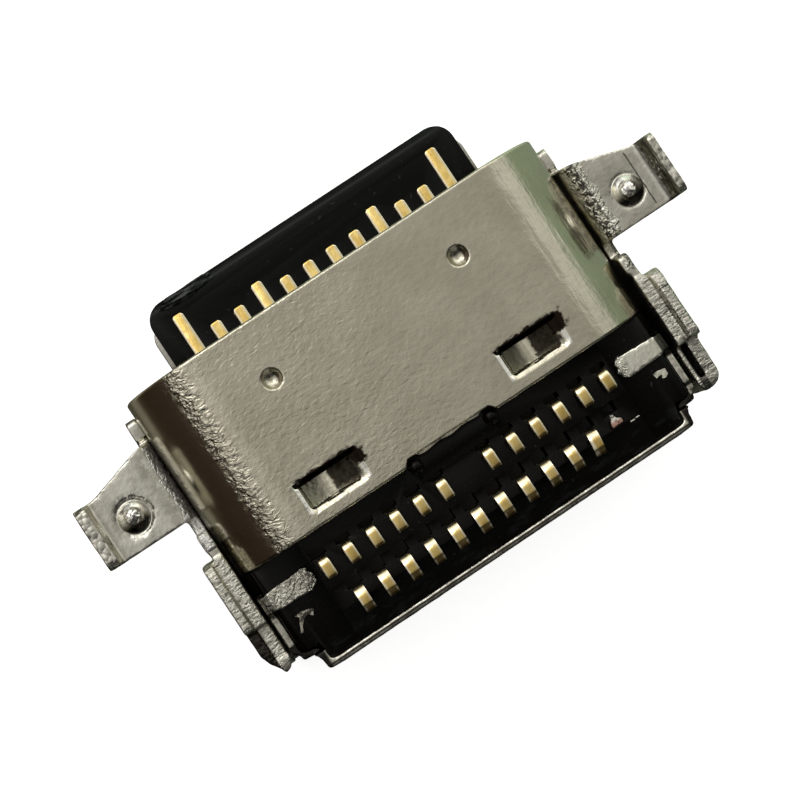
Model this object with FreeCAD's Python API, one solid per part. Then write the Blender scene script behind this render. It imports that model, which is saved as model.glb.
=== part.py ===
import FreeCAD, Part
import math
import os

# Mid-mount socket for a reversible power and data plug, lying with its solder side up.
# X runs across the socket, +Y points out of the mouth along the tongue, +Z is the solder side.
# The origin is under the middle of the whole part, on its flat underside.
# Lengths are in millimetres. A "behind" length is measured back from the tongue's tip.

# Mating shell: a short stadium-shaped tube
cavity_width = 8.34
cavity_height = 2.56
shell_sheet = 0.25
shell_length = 3.76
shell_behind = 1.22
shell_rim_round = 0.06
dimple_spacing = 3.96
dimple_behind_rim = 1.11
dimple_radius = 0.20
dimple_depth = 0.12
dimple_bulge = 0.045
pocket_spacing = 4.28
pocket_width = 1.26
pocket_length = 0.62
pocket_behind_rim = 2.88
pocket_depth = 0.40
pocket_corner = 0.16
flap_end_sheet = 0.20
notch_middle = 0.09
notch_width = 1.70
notch_depth = 0.13

# Tongue and the black moulded body behind it
tongue_width = 6.54
tongue_thickness = 0.70
tongue_corner = 0.40
tip_bevel_length = 0.11
tip_bevel_drop = 0.09
latch_notch_behind = 1.55
latch_notch_length = 0.95
latch_notch_depth = 0.42
latch_notch_corner = 0.10
root_behind = 2.75
root_width = 6.90
root_thickness = 1.20
flange_behind = 3.95
collar_length = 0.38
collar_side_gap = 0.05
collar_corner = 0.45
collar_top = 0.74
body_width = 8.44
body_edge_cut = 0.13
narrow_behind = 6.70
narrow_width = 7.84
narrow_corner = 0.22
body_rear_behind = 7.07
front_deck = 1.12
rear_deck = 1.05
ledge_deck = 0.80
side_deck = 0.78
side_deck_half_inner = 3.22
rear_deck_behind = 6.02
ledge_behind = 6.47
key_height = 0.20
key_horn_radius = 0.14
key_horn_crown = 0.08
key_horn_from_corner = 0.05
key_horn_inset = 0.03
fit_gap = 0.01

# Steel plate in the middle of the tongue
mid_plate_thickness = 0.15
mid_plate_proud = 0.09
mid_plate_behind = 0.30
mid_plate_length = 4.90
mid_plate_corner = 0.35
anchor_hole_radius = 0.32
anchor_hole_spacing = 4.00
anchor_hole_behind = 4.55

# Contacts
contact_count = 12
contact_pitch = 0.50
contact_width = 0.25
contact_sheet = 0.12
contact_proud = 0.02
long_tip_behind = 0.35
middle_tip_behind = 0.65
short_tip_behind = 0.84
middle_place = 4
contact_tip_cut = 0.05
tail_width = 0.205
tail_jog = 0.25
jog_behind = 4.55
jog_length = 0.40
upper_riser_behind = 5.41
upper_foot_length = 0.44
lower_riser_behind = 6.20
lower_foot_length = 0.49
lower_foot_drop = 0.10
solder_plane = 1.33
tail_bend = 0.14
tail_slot_gap = 0.05
upper_slot_length = 0.10
lower_slot_length = 0.21
slot_floor = 0.55
bent_place = 11
bent_angle = 7.0
bent_above = 0.75
stub_place = 12
stub_top = 0.98
stub_foot_length = 0.24

# Carriers that hold each row of contacts
carrier_width = 6.20
carrier_behind = 4.05
carrier_inner = 0.10
carrier_outer = 0.60
upper_carrier_length = 1.10
lower_carrier_length = 1.75

# Ground pads on the tongue's root
pad_sheet = 0.12
pad_width = 6.60
pad_behind = 2.95
pad_length = 0.80
pad_lip_length = 0.20
pad_lip_drop = 0.14

# Mounting bracket: one folded sheet under and beside the shell
bracket_sheet = 0.24
bracket_gap = 0.01
bracket_bend = 0.15
plate_front_behind = 1.47
plate_rear_behind = 6.80
front_tab_length = 0.42
front_tab_top = 0.02
ear_root_behind = 1.98
ear_tip_behind = 2.33
ear_rear_behind = 3.60
ear_top = 0.38
ear_root_bend = 0.21
ear_half_reach = 6.27
lip_top = 0.85
lip_bend = 0.15
lip_corner = 0.16
bump_half_spacing = 5.39
bump_behind = 3.00
bump_radius = 0.31
bump_height = 0.22
bump_hollow_radius = 0.20
bump_hollow_rise = 0.06
relief_length = 0.30
relief_top = 0.05
leg_wall_top = 0.66
leg_wall_low_top = 0.42
leg_step_behind = 5.90
leg_corner = 0.14
leaf_front_behind = 4.43
leaf_top = 0.84
leaf_low_top = 0.50
leaf_bottom = -0.95
fold_gap = 0.04

# Rear shield: a tray of thinner sheet with two tabs folded in over the body
shield_sheet = 0.15
shield_bend = 0.10
shield_side_behind = 5.40
shield_side_top = 0.60
shield_rear_top = 0.86
tab_behind = 5.42
tab_length = 0.43
tab_half_reach = 3.30
tab_corner = 0.07

# Worked out from the sizes above
shell_half_width = cavity_width / 2 + shell_sheet
shell_half_height = cavity_height / 2 + shell_sheet
plate_top = -shell_half_height - bracket_gap
base_drop = plate_top - bracket_sheet
shield_floor_bottom = plate_top + fit_gap
shield_floor_top = shield_floor_bottom + shield_sheet
body_bottom = shield_floor_top + fit_gap
overall_length = body_rear_behind + fit_gap + shield_sheet
wall_inner = shell_half_width + bracket_gap
wall_middle = wall_inner + bracket_sheet / 2
collar_half_width = wall_inner - collar_side_gap
tongue_half = tongue_thickness / 2
contact_top = tongue_half + contact_proud
contact_middle = contact_top - contact_sheet / 2
root_half = root_thickness / 2

FRONT = "front"
SIDE = "side"
PLAN = "plan"


def y_at(behind):
    """Y of a place that lies this far behind the tongue's tip."""
    return overall_length / 2 - behind


def z_at(height):
    """Z of a height counted from the middle of the tongue."""
    return height - base_drop


def point(plane, u, v, at):
    """A point of a drawing: front is (x, height), side is (behind, height), plan is (x, behind)."""
    if plane == FRONT:
        return FreeCAD.Vector(u, y_at(at), z_at(v))
    if plane == SIDE:
        return FreeCAD.Vector(at, y_at(u), z_at(v))
    return FreeCAD.Vector(u, y_at(v), z_at(at))


def rounded_wire(plane, corners, at):
    """A closed outline through (u, v, radius) corners, each rounded by its radius."""
    starts = []
    ends = []
    middles = []
    count = len(corners)
    for index, (u, v, radius) in enumerate(corners):
        before = corners[index - 1]
        after = corners[(index + 1) % count]
        into = (u - before[0], v - before[1])
        out = (after[0] - u, after[1] - v)
        into_length = math.hypot(*into)
        out_length = math.hypot(*out)
        into = (into[0] / into_length, into[1] / into_length)
        out = (out[0] / out_length, out[1] / out_length)
        cross = into[0] * out[1] - into[1] * out[0]
        turn = math.atan2(cross, into[0] * out[0] + into[1] * out[1])
        if radius <= 0 or abs(turn) < 1e-6:
            starts.append((u, v))
            ends.append((u, v))
            middles.append(None)
            continue
        run = radius * math.tan(abs(turn) / 2)
        start = (u - into[0] * run, v - into[1] * run)
        end = (u + out[0] * run, v + out[1] * run)
        side = math.copysign(1.0, turn)
        centre = (start[0] - into[1] * radius * side, start[1] + into[0] * radius * side)
        away = (u - centre[0], v - centre[1])
        stretch = radius / math.hypot(*away)
        starts.append(start)
        ends.append(end)
        middles.append((centre[0] + away[0] * stretch, centre[1] + away[1] * stretch))
    edges = []
    for index in range(count):
        start = point(plane, *starts[index], at)
        end = point(plane, *ends[index], at)
        if middles[index] is not None:
            edges.append(Part.Arc(start, point(plane, *middles[index], at), end).toShape())
        following = point(plane, *starts[(index + 1) % count], at)
        if end.distanceToPoint(following) > 1e-7:
            edges.append(Part.LineSegment(end, following).toShape())
    return Part.Wire(edges)


def prism(plane, corners, at_from, at_to):
    """A flat outline drawn out between two levels of its own plane."""
    face = Part.Face(rounded_wire(plane, corners, at_from))
    travel = point(plane, 0, 0, at_to) - point(plane, 0, 0, at_from)
    return face.extrude(travel)


def offset_path(path, offset):
    """The (u, v, radius) path moved sideways, to its left where offset is positive."""
    moved = []
    last = len(path) - 1
    for index, (u, v, radius) in enumerate(path):
        normals = []
        if index > 0:
            du = u - path[index - 1][0]
            dv = v - path[index - 1][1]
            length = math.hypot(du, dv)
            normals.append((-dv / length, du / length))
        if index < last:
            du = path[index + 1][0] - u
            dv = path[index + 1][1] - v
            length = math.hypot(du, dv)
            normals.append((-dv / length, du / length))
        first = normals[0]
        second = normals[-1]
        spread = 1 + first[0] * second[0] + first[1] * second[1]
        turn = first[0] * second[1] - first[1] * second[0]
        new_radius = 0
        if radius > 0:
            new_radius = radius - math.copysign(offset, turn * offset) if turn else radius
        moved.append((
            u + offset * (first[0] + second[0]) / spread,
            v + offset * (first[1] + second[1]) / spread,
            new_radius,
        ))
    return moved


def sheet_strip(plane, path, thickness, at_from, at_to):
    """A bent strip of sheet metal that follows a middle line."""
    left = offset_path(path, thickness / 2)
    right = offset_path(path, -thickness / 2)
    right.reverse()
    return prism(plane, left + right, at_from, at_to)


def block(half_width, behind_from, behind_to, bottom, top, middle_x=0):
    """A plain block, centred on middle_x."""
    corner = point(PLAN, middle_x - half_width, behind_to, bottom)
    return Part.makeBox(2 * half_width, behind_to - behind_from, top - bottom, corner)


def stadium(half_width, half_height, behind_from, behind_to):
    """A bar whose section has flat faces and full-round sides."""
    corners = [
        (-half_width, -half_height, half_height),
        (half_width, -half_height, half_height),
        (half_width, half_height, half_height),
        (-half_width, half_height, half_height),
    ]
    return prism(FRONT, corners, behind_from, behind_to)


def mirrored(shape):
    """The same piece on the other side of the socket."""
    return shape.mirror(FreeCAD.Vector(0, 0, 0), FreeCAD.Vector(1, 0, 0))


def flipped(shape):
    """The same piece on the other face of the tongue."""
    return shape.mirror(FreeCAD.Vector(0, 0, z_at(0)), FreeCAD.Vector(0, 0, 1))


def both_sides(shape):
    """A piece and its mirror twin."""
    return [shape, mirrored(shape)]


def joined(shapes):
    """Several touching shapes as one clean solid."""
    return shapes[0].fuse(shapes[1:]).removeSplitter()


def cap_ball_radius(rim_radius, height):
    """Radius of the ball whose cap has this rim and height."""
    return (rim_radius ** 2 + height ** 2) / (2 * height)


def shell_pocket(middle_x):
    """The hollow and the pushed-in flap of one lanced pocket, which locks behind the flange."""
    front = shell_behind + pocket_behind_rim
    rear = front + pocket_length
    top = shell_half_height
    hollow_corners = [
        (middle_x - pocket_width / 2, front, 0),
        (middle_x + pocket_width / 2, front, 0),
        (middle_x + pocket_width / 2, rear, pocket_corner),
        (middle_x - pocket_width / 2, rear, pocket_corner),
    ]
    column = prism(PLAN, hollow_corners, top - pocket_depth - shell_sheet, top + fit_gap)
    wedge_corners = [
        (front, top - pocket_depth, 0),
        (rear, top, 0),
        (rear, top + fit_gap, 0),
        (front, top + fit_gap, 0),
    ]
    half = pocket_width / 2
    wedge = prism(SIDE, wedge_corners, middle_x - half, middle_x + half)
    flap_corners = [
        (front, top - pocket_depth, 0),
        (rear, top, 0),
        (rear, top - shell_sheet, 0),
        (front, top - pocket_depth - flap_end_sheet, 0),
    ]
    flap = prism(SIDE, flap_corners, middle_x - half, middle_x + half)
    return wedge.common(column), flap.common(column)


def shell_dimple(middle_x):
    """The ball that presses one dimple, and the low bulge that it raises inside the tube."""
    ball = cap_ball_radius(dimple_radius, dimple_depth)
    behind = shell_behind + dimple_behind_rim
    press = Part.makeSphere(ball, point(PLAN, middle_x, behind, shell_half_height - dimple_depth + ball))
    foot = point(PLAN, middle_x, behind, cavity_height / 2 - dimple_bulge)
    bulge = Part.makeCone(dimple_radius / 2, dimple_radius, dimple_bulge + fit_gap, foot)
    return press, bulge


def mating_shell():
    """The tube that guides the plug, with dimples, lanced pockets and a keyed rear edge."""
    rear = shell_behind + shell_length
    tube = stadium(shell_half_width, shell_half_height, shell_behind, rear)
    rim = [e for e in tube.Edges if abs(e.CenterOfMass.y - y_at(shell_behind)) < 1e-4]
    tube = tube.makeFillet(shell_rim_round, rim)
    tube = tube.cut(stadium(cavity_width / 2, cavity_height / 2, 0, rear + fit_gap))
    for middle_x in (-dimple_spacing / 2, dimple_spacing / 2):
        press, bulge = shell_dimple(middle_x)
        tube = tube.fuse(bulge).cut(press)
    for middle_x in (-pocket_spacing / 2, pocket_spacing / 2):
        hollow, flap = shell_pocket(middle_x)
        tube = tube.fuse(flap).cut(hollow)
    notch = [
        (notch_middle - notch_width / 2, rear - notch_depth, 0),
        (notch_middle + notch_width / 2, rear - notch_depth, 0),
        (notch_middle + notch_width / 2 + notch_depth, rear + fit_gap, 0),
        (notch_middle - notch_width / 2 - notch_depth, rear + fit_gap, 0),
    ]
    return tube.cut(prism(PLAN, notch, 0, shell_half_height + fit_gap)).removeSplitter()


def latch_notches(outer_half):
    """What the plug's side latches need: a notch on each side of the tongue."""
    inner_half = outer_half - latch_notch_depth
    behind_to = latch_notch_behind + latch_notch_length
    corners = [
        (inner_half, latch_notch_behind, latch_notch_corner),
        (outer_half + latch_notch_depth, latch_notch_behind, 0),
        (outer_half + latch_notch_depth, behind_to, 0),
        (inner_half, behind_to, latch_notch_corner),
    ]
    return both_sides(prism(PLAN, corners, -root_half, root_half))


def mid_plate():
    """The steel plate between the two rows, with latch notches and holes that anchor the moulding."""
    half = tongue_width / 2 + mid_plate_proud
    rear = mid_plate_behind + mid_plate_length
    corners = [
        (-half, mid_plate_behind, mid_plate_corner),
        (half, mid_plate_behind, mid_plate_corner),
        (half, rear, 0),
        (-half, rear, 0),
    ]
    plate = prism(PLAN, corners, -mid_plate_thickness / 2, mid_plate_thickness / 2)
    for notch in latch_notches(half):
        plate = plate.cut(notch)
    for middle_x in (-anchor_hole_spacing / 2, anchor_hole_spacing / 2):
        foot = point(PLAN, middle_x, anchor_hole_behind, -mid_plate_thickness)
        plate = plate.cut(Part.makeCylinder(anchor_hole_radius, 2 * mid_plate_thickness, foot))
    return plate


def tip_behind(place):
    """How far a contact's tip lies behind the tongue's tip: the outer and the supply ones reach further."""
    from_edge = min(place, contact_count + 1 - place)
    if from_edge == 1:
        return long_tip_behind
    if from_edge == middle_place:
        return middle_tip_behind
    return short_tip_behind


def contact_x(place):
    """Middle of a contact on the tongue."""
    return (place - (contact_count + 1) / 2) * contact_pitch


def upper_tail_x(place):
    """Middle of an upper contact's foot, which steps half a pitch outwards."""
    middle = contact_x(place)
    return middle + math.copysign(tail_jog, middle)


def contact_tail(middle_x, start_behind, start_height, riser_behind, foot_top, foot_length, drop):
    """The run, riser and foot of a contact, drawn from the side."""
    riser = riser_behind + contact_sheet / 2
    foot_middle = foot_top - contact_sheet / 2
    path = [
        (start_behind, start_height, 0),
        (riser - contact_sheet, start_height, 0),
        (riser, start_height + contact_sheet, 0),
        (riser, foot_middle, tail_bend),
        (riser_behind + foot_length, foot_middle - drop, 0),
    ]
    half = tail_width / 2
    return sheet_strip(SIDE, path, contact_sheet, middle_x - half, middle_x + half)


def blade_tip(place):
    """The tip end of a contact's outline, with its two cut corners."""
    middle = contact_x(place)
    half = contact_width / 2
    tip = tip_behind(place)
    return [
        (middle - half, tip + contact_tip_cut, 0),
        (middle - half + contact_tip_cut, tip, 0),
        (middle + half - contact_tip_cut, tip, 0),
        (middle + half, tip + contact_tip_cut, 0),
    ]


def upper_contact(place):
    """A contact on the solder side of the tongue, with its foot in the front row."""
    middle = contact_x(place)
    tail_x = upper_tail_x(place)
    half = contact_width / 2
    tail_half = tail_width / 2
    jog_end = jog_behind + jog_length
    blade_corners = blade_tip(place) + [
        (middle + half, jog_behind, 0),
        (tail_x + tail_half, jog_end, 0),
        (tail_x + tail_half, jog_end + contact_sheet, 0),
        (tail_x - tail_half, jog_end + contact_sheet, 0),
        (tail_x - tail_half, jog_end, 0),
        (middle - half, jog_behind, 0),
    ]
    blade = prism(PLAN, blade_corners, contact_top - contact_sheet, contact_top)
    tail = contact_tail(tail_x, jog_end + contact_sheet, contact_middle, upper_riser_behind,
                        solder_plane, upper_foot_length, 0)
    return joined([blade, tail])


def lower_contact(place):
    """A contact on the other face of the tongue, with its foot in the rear row."""
    middle = contact_x(place)
    half = contact_width / 2
    blade_corners = blade_tip(place) + [
        (middle + half, jog_behind, 0),
        (middle - half, jog_behind, 0),
    ]
    blade = prism(PLAN, blade_corners, -contact_top, contact_sheet - contact_top)
    if place == stub_place:
        tail = contact_tail(middle, jog_behind, -contact_middle, lower_riser_behind,
                            stub_top, stub_foot_length, 0)
        return joined([blade, tail])
    tail = contact_tail(middle, jog_behind, -contact_middle, lower_riser_behind,
                        solder_plane, lower_foot_length, lower_foot_drop)
    if place == bent_place:
        return joined([blade, bent_tail(tail, middle)])
    return joined([blade, tail])


def bent_tail(tail, middle):
    """The one tail whose foot was knocked askew: its top turns about the riser."""
    tall = 2 * solder_plane
    riser_rear = lower_riser_behind + contact_sheet
    above = block(tail_width, lower_riser_behind - fit_gap, riser_rear + lower_foot_length,
                  bent_above, tall, middle)
    pivot = point(PLAN, middle, lower_riser_behind + contact_sheet / 2, 0)
    top = tail.common(above)
    top.rotate(pivot, FreeCAD.Vector(0, 0, 1), -bent_angle)
    return joined([tail.cut(above), top])


def carrier(length):
    """A moulded bar that holds the upper row of contacts before the body is moulded round it."""
    return block(carrier_width / 2, carrier_behind, carrier_behind + length, carrier_inner, carrier_outer)


def ground_pad():
    """A thin plate on the tongue's root that the plug's shell springs touch."""
    face = root_half + fit_gap + pad_sheet / 2
    path = [
        (pad_behind - pad_lip_length, face - pad_lip_drop, 0),
        (pad_behind, face, pad_sheet / 2),
        (pad_behind + pad_length, face, 0),
    ]
    return sheet_strip(SIDE, path, pad_sheet, -pad_width / 2, pad_width / 2)


def tongue():
    """The black tongue, with a bevelled tip, rounded corners and latch notches."""
    rear = flange_behind + fit_gap
    plan_corners = [
        (-tongue_width / 2, 0, tongue_corner),
        (tongue_width / 2, 0, tongue_corner),
        (tongue_width / 2, rear, 0),
        (-tongue_width / 2, rear, 0),
    ]
    bevel_height = tongue_half - tip_bevel_drop
    side_corners = [
        (0, -bevel_height, 0),
        (0, bevel_height, 0),
        (tip_bevel_length, tongue_half, 0),
        (rear, tongue_half, 0),
        (rear, -tongue_half, 0),
        (tip_bevel_length, -tongue_half, 0),
    ]
    plan = prism(PLAN, plan_corners, -tongue_half, tongue_half)
    bar = plan.common(prism(SIDE, side_corners, -tongue_width, tongue_width))
    for notch in latch_notches(tongue_width / 2):
        bar = bar.cut(notch)
    root_corners = [
        (root_behind, -tongue_half, 0),
        (root_behind, tongue_half, 0),
        (pad_behind + pad_sheet / 2, root_half, 0),
        (rear, root_half, 0),
        (rear, -root_half, 0),
        (pad_behind + pad_sheet / 2, -root_half, 0),
    ]
    return bar, prism(SIDE, root_corners, -root_width / 2, root_width / 2)


def flange():
    """The part of the body that fills the shell's rear, with room for the pushed-in flaps."""
    rear = shell_behind + shell_length + fit_gap
    plug = stadium(cavity_width / 2 - fit_gap, cavity_height / 2 - fit_gap, flange_behind, rear)
    flap_front = shell_behind + pocket_behind_rim - fit_gap
    floor = shell_half_height - pocket_depth - shell_sheet
    for middle_x in (-pocket_spacing / 2, pocket_spacing / 2):
        room = block(pocket_width / 2 + fit_gap, flap_front, flap_front + pocket_length + 2 * fit_gap,
                     floor, shell_half_height, middle_x)
        plug = plug.cut(room)
    return plug


def rear_body():
    """The block behind the shell, with its decks, side steps and narrower end."""
    start = shell_behind + shell_length + fit_gap
    collar_end = start + collar_length
    collar_corners = [
        (-collar_half_width, -shell_half_height, collar_corner),
        (collar_half_width, -shell_half_height, collar_corner),
        (collar_half_width, collar_top, collar_corner),
        (-collar_half_width, collar_top, collar_corner),
    ]
    collar = prism(FRONT, collar_corners, start, collar_end)
    half = body_width / 2
    narrow = narrow_width / 2
    plan_corners = [
        (-half, start, 0),
        (half, start, 0),
        (half, narrow_behind, shield_bend),
        (narrow, narrow_behind, 0),
        (narrow, body_rear_behind, narrow_corner),
        (-narrow, body_rear_behind, narrow_corner),
        (-narrow, narrow_behind, 0),
        (-half, narrow_behind, shield_bend),
    ]
    side_corners = [
        (start, body_bottom, 0),
        (start, front_deck, 0),
        (rear_deck_behind, front_deck, 0),
        (rear_deck_behind, rear_deck, 0),
        (ledge_behind, rear_deck, 0),
        (ledge_behind, ledge_deck, 0),
        (body_rear_behind, ledge_deck, 0),
        (body_rear_behind, body_bottom + body_edge_cut, 0),
        (body_rear_behind - body_edge_cut, body_bottom, 0),
    ]
    front_corners = [
        (-half, body_bottom, body_edge_cut),
        (half, body_bottom, body_edge_cut),
        (half, side_deck, body_edge_cut),
        (side_deck_half_inner, side_deck, 0),
        (side_deck_half_inner, front_deck, 0),
        (-side_deck_half_inner, front_deck, 0),
        (-side_deck_half_inner, side_deck, 0),
        (-half, side_deck, body_edge_cut),
    ]
    body = prism(PLAN, plan_corners, body_bottom, front_deck)
    body = body.common(prism(SIDE, side_corners, -half, half))
    body = body.common(prism(FRONT, front_corners, start, body_rear_behind))
    return [collar, body]


def shell_key():
    """The raised key behind the shell's notch, with a rounded horn at each end."""
    edge = shell_behind + shell_length - notch_depth + fit_gap
    end = shell_behind + shell_length + collar_length
    flange_top = cavity_height / 2 - fit_gap
    bar = block(notch_width / 2 - fit_gap, edge, end, tongue_half, flange_top, notch_middle)
    horns = []
    for side in (-1, 1):
        middle_x = notch_middle + side * (notch_width / 2 - key_horn_from_corner)
        foot = point(PLAN, middle_x, edge + key_horn_inset + key_horn_radius, tongue_half)
        tall = flange_top + key_height - tongue_half
        horn = Part.makeCylinder(key_horn_radius, tall, foot)
        crown = [e for e in horn.Edges if abs(e.CenterOfMass.z - foot.z - tall) < 1e-4]
        horns.append(horn.makeChamfer(key_horn_crown, crown))
    return [bar] + horns


def tail_slots():
    """The open slots in front of the risers."""
    slots = []
    half = tail_width / 2 + tail_slot_gap
    roof = solder_plane
    for place in range(1, contact_count + 1):
        slots.append(block(half, upper_riser_behind - upper_slot_length, upper_riser_behind,
                           slot_floor, roof, upper_tail_x(place)))
        slots.append(block(half, lower_riser_behind - lower_slot_length, lower_riser_behind,
                           slot_floor, roof, contact_x(place)))
    slots.append(block(half, lower_riser_behind, lower_riser_behind + stub_foot_length,
                       stub_top, roof, contact_x(stub_place)))
    return slots


def insulator_body(inner_pieces):
    """The black moulding: tongue, flange and rear block, with exact room for what it holds."""
    bar, root = tongue()
    solid = joined([bar, root, flange()] + rear_body() + shell_key())
    solid = solid.cut(tail_slots())
    return solid.cut(inner_pieces).removeSplitter()


def bracket_channel():
    """The underside plate with its two side walls, cut to the walls' heights."""
    tall = leaf_top
    path = [
        (-wall_middle, tall, 0),
        (-wall_middle, plate_top - bracket_sheet / 2, bracket_bend + bracket_sheet / 2),
        (wall_middle, plate_top - bracket_sheet / 2, bracket_bend + bracket_sheet / 2),
        (wall_middle, tall, 0),
    ]
    channel = sheet_strip(FRONT, path, bracket_sheet, plate_front_behind, plate_rear_behind)
    under = plate_top - 2 * bracket_sheet
    ear_spring = ear_top - bracket_sheet - ear_root_bend
    relief_end = ear_rear_behind + relief_length
    outline = [
        (plate_front_behind, under, 0),
        (plate_front_behind, front_tab_top, leg_corner),
        (plate_front_behind + front_tab_length, front_tab_top, 0),
        (plate_front_behind + front_tab_length, ear_spring, 0),
        (ear_rear_behind, ear_spring, 0),
        (ear_rear_behind, relief_top, 0),
        (relief_end, relief_top, 0),
        (relief_end, leg_wall_top, leg_corner),
        (leg_step_behind, leg_wall_top, 0),
        (leg_step_behind, leg_wall_low_top, 0),
        (fold_start(), leg_wall_low_top, 0),
        (fold_start(), leaf_bottom, 0),
        (plate_rear_behind, leaf_bottom, 0),
        (plate_rear_behind, under, 0),
    ]
    return channel.common(prism(SIDE, outline, -2 * wall_inner, 2 * wall_inner))


def fold_start():
    """Where the leg's wall begins to turn back on itself."""
    return plate_rear_behind - bracket_sheet - fold_gap / 2


def folded_leg():
    """The doubled leg: the wall turns back on itself at its rear end."""
    leaf_middle = wall_middle + bracket_sheet + fold_gap
    turn = (bracket_sheet + fold_gap) / 2
    end = plate_rear_behind - bracket_sheet / 2
    path = [
        (wall_middle, fold_start(), 0),
        (wall_middle, end, turn),
        (leaf_middle, end, turn),
        (leaf_middle, leaf_front_behind, 0),
    ]
    leg = sheet_strip(PLAN, path, bracket_sheet, leaf_bottom, leaf_top)
    outline = [
        (leaf_front_behind, leaf_bottom, 0),
        (leaf_front_behind, leaf_top, 2 * leg_corner),
        (leg_step_behind, leaf_top, leg_corner),
        (leg_step_behind, leaf_low_top, 0),
        (plate_rear_behind, leg_wall_low_top, leg_corner),
        (plate_rear_behind, leaf_bottom, 0),
    ]
    return leg.common(prism(SIDE, outline, wall_inner, 2 * wall_inner))


def bracket_ear():
    """One ear: up from the wall, out flat with a swaged bump, and up again into its lip."""
    ear_middle = ear_top - bracket_sheet / 2
    lip_middle = ear_half_reach - bracket_sheet / 2
    path = [
        (wall_middle, ear_top - bracket_sheet - ear_root_bend, 0),
        (wall_middle, ear_middle, ear_root_bend + bracket_sheet / 2),
        (lip_middle, ear_middle, lip_bend + bracket_sheet / 2),
        (lip_middle, lip_top, 0),
    ]
    ear = sheet_strip(FRONT, path, bracket_sheet, ear_root_behind, ear_rear_behind)
    lip_start = ear_half_reach - bracket_sheet - lip_bend
    plan_corners = [
        (wall_inner - fit_gap, ear_root_behind, 0),
        (wall_inner + bracket_sheet, ear_root_behind, 0),
        (lip_start, ear_tip_behind, 0),
        (ear_half_reach + fit_gap, ear_tip_behind, 0),
        (ear_half_reach + fit_gap, ear_rear_behind, 0),
        (wall_inner - fit_gap, ear_rear_behind, 0),
    ]
    ear = ear.common(prism(PLAN, plan_corners, -shell_half_height, lip_top))
    side_corners = [
        (ear_root_behind, -shell_half_height, 0),
        (ear_root_behind, ear_top, 0),
        (ear_tip_behind, ear_top, 0),
        (ear_tip_behind, lip_top, lip_corner),
        (ear_rear_behind, lip_top, lip_corner),
        (ear_rear_behind, -shell_half_height, 0),
    ]
    ear = ear.common(prism(SIDE, side_corners, wall_inner, ear_half_reach))
    ball = cap_ball_radius(bump_radius, bump_height)
    centre = point(PLAN, bump_half_spacing, bump_behind, ear_top + bump_height - ball)
    over = block(ball, bump_behind - ball, bump_behind + ball, ear_top - fit_gap, lip_top + ball,
                 bump_half_spacing)
    dome = Part.makeSphere(ball, centre).common(over)
    mouth = point(PLAN, bump_half_spacing, bump_behind, ear_top - bracket_sheet - fit_gap)
    hollow = Part.makeCone(bump_hollow_radius, bump_hollow_radius / 2,
                           bracket_sheet + bump_hollow_rise, mouth)
    return ear.fuse(dome).cut(hollow)


def mounting_bracket():
    """The whole bracket, one folded sheet."""
    return joined([bracket_channel()] + both_sides(folded_leg()) + both_sides(bracket_ear()))


def shield_tray():
    """The shield's floor and side walls."""
    half = body_width / 2 + fit_gap + shield_sheet / 2
    middle = shield_floor_bottom + shield_sheet / 2
    rear = narrow_behind - shield_bend
    bend = shield_bend + shield_sheet / 2
    path = [
        (-half, shield_side_top, 0),
        (-half, middle, bend),
        (half, middle, bend),
        (half, shield_side_top, 0),
    ]
    tray = sheet_strip(FRONT, path, shield_sheet, shield_side_behind, rear)
    floor_half = narrow_width / 2 - narrow_corner
    floor_end = body_rear_behind + fit_gap - shield_bend
    floor = block(floor_half, rear, floor_end, shield_floor_bottom, shield_floor_top)
    return [tray, floor]


def shield_rear_wall():
    """The wall round the body's rear: behind its steps, round its narrower end and down into the floor."""
    side = body_width / 2 + fit_gap + shield_sheet / 2
    half = narrow_width / 2 + fit_gap + shield_sheet / 2
    step = narrow_behind + fit_gap + shield_sheet / 2
    middle = body_rear_behind + fit_gap + shield_sheet / 2
    turn = narrow_corner + fit_gap + shield_sheet / 2
    bend = shield_bend + shield_sheet / 2
    path = [
        (-side, narrow_behind - shield_bend, 0),
        (-side, step, bend),
        (-half, step, bend),
        (-half, middle, turn),
        (half, middle, turn),
        (half, step, bend),
        (side, step, bend),
        (side, narrow_behind - shield_bend, 0),
    ]
    ledge = shield_floor_top + shield_bend
    wall = sheet_strip(PLAN, path, shield_sheet, ledge, shield_rear_top)
    step_end = step + shield_sheet / 2
    heights = [
        (narrow_behind - shield_bend, ledge, 0),
        (narrow_behind - shield_bend, shield_side_top, 0),
        (step_end, shield_side_top, 0),
        (step_end, shield_rear_top, 0),
        (middle + shield_sheet, shield_rear_top, 0),
        (middle + shield_sheet, ledge, 0),
    ]
    wall = wall.common(prism(SIDE, heights, -2 * side, 2 * side))
    floor_half = narrow_width / 2 - narrow_corner
    bend_path = [
        (middle - shield_sheet / 2 - shield_bend, shield_floor_bottom + shield_sheet / 2, 0),
        (middle, shield_floor_bottom + shield_sheet / 2, shield_bend + shield_sheet / 2),
        (middle, ledge, 0),
    ]
    bend = sheet_strip(SIDE, bend_path, shield_sheet, -floor_half, floor_half)
    return [wall, bend]


def shield_tab():
    """One tab that rises from the side wall and folds in over the body."""
    half = body_width / 2 + fit_gap + shield_sheet / 2
    bend = shield_bend + shield_sheet / 2
    over = side_deck + fit_gap + shield_sheet / 2
    path = [
        (half, shield_side_top, 0),
        (half, over, bend),
        (tab_half_reach, over, 0),
    ]
    tab = sheet_strip(FRONT, path, shield_sheet, tab_behind, tab_behind + tab_length)
    plan_corners = [
        (tab_half_reach, tab_behind, tab_corner),
        (half + shield_sheet, tab_behind, 0),
        (half + shield_sheet, tab_behind + tab_length, 0),
        (tab_half_reach, tab_behind + tab_length, tab_corner),
    ]
    return tab.common(prism(PLAN, plan_corners, 0, shell_half_height))


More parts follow.
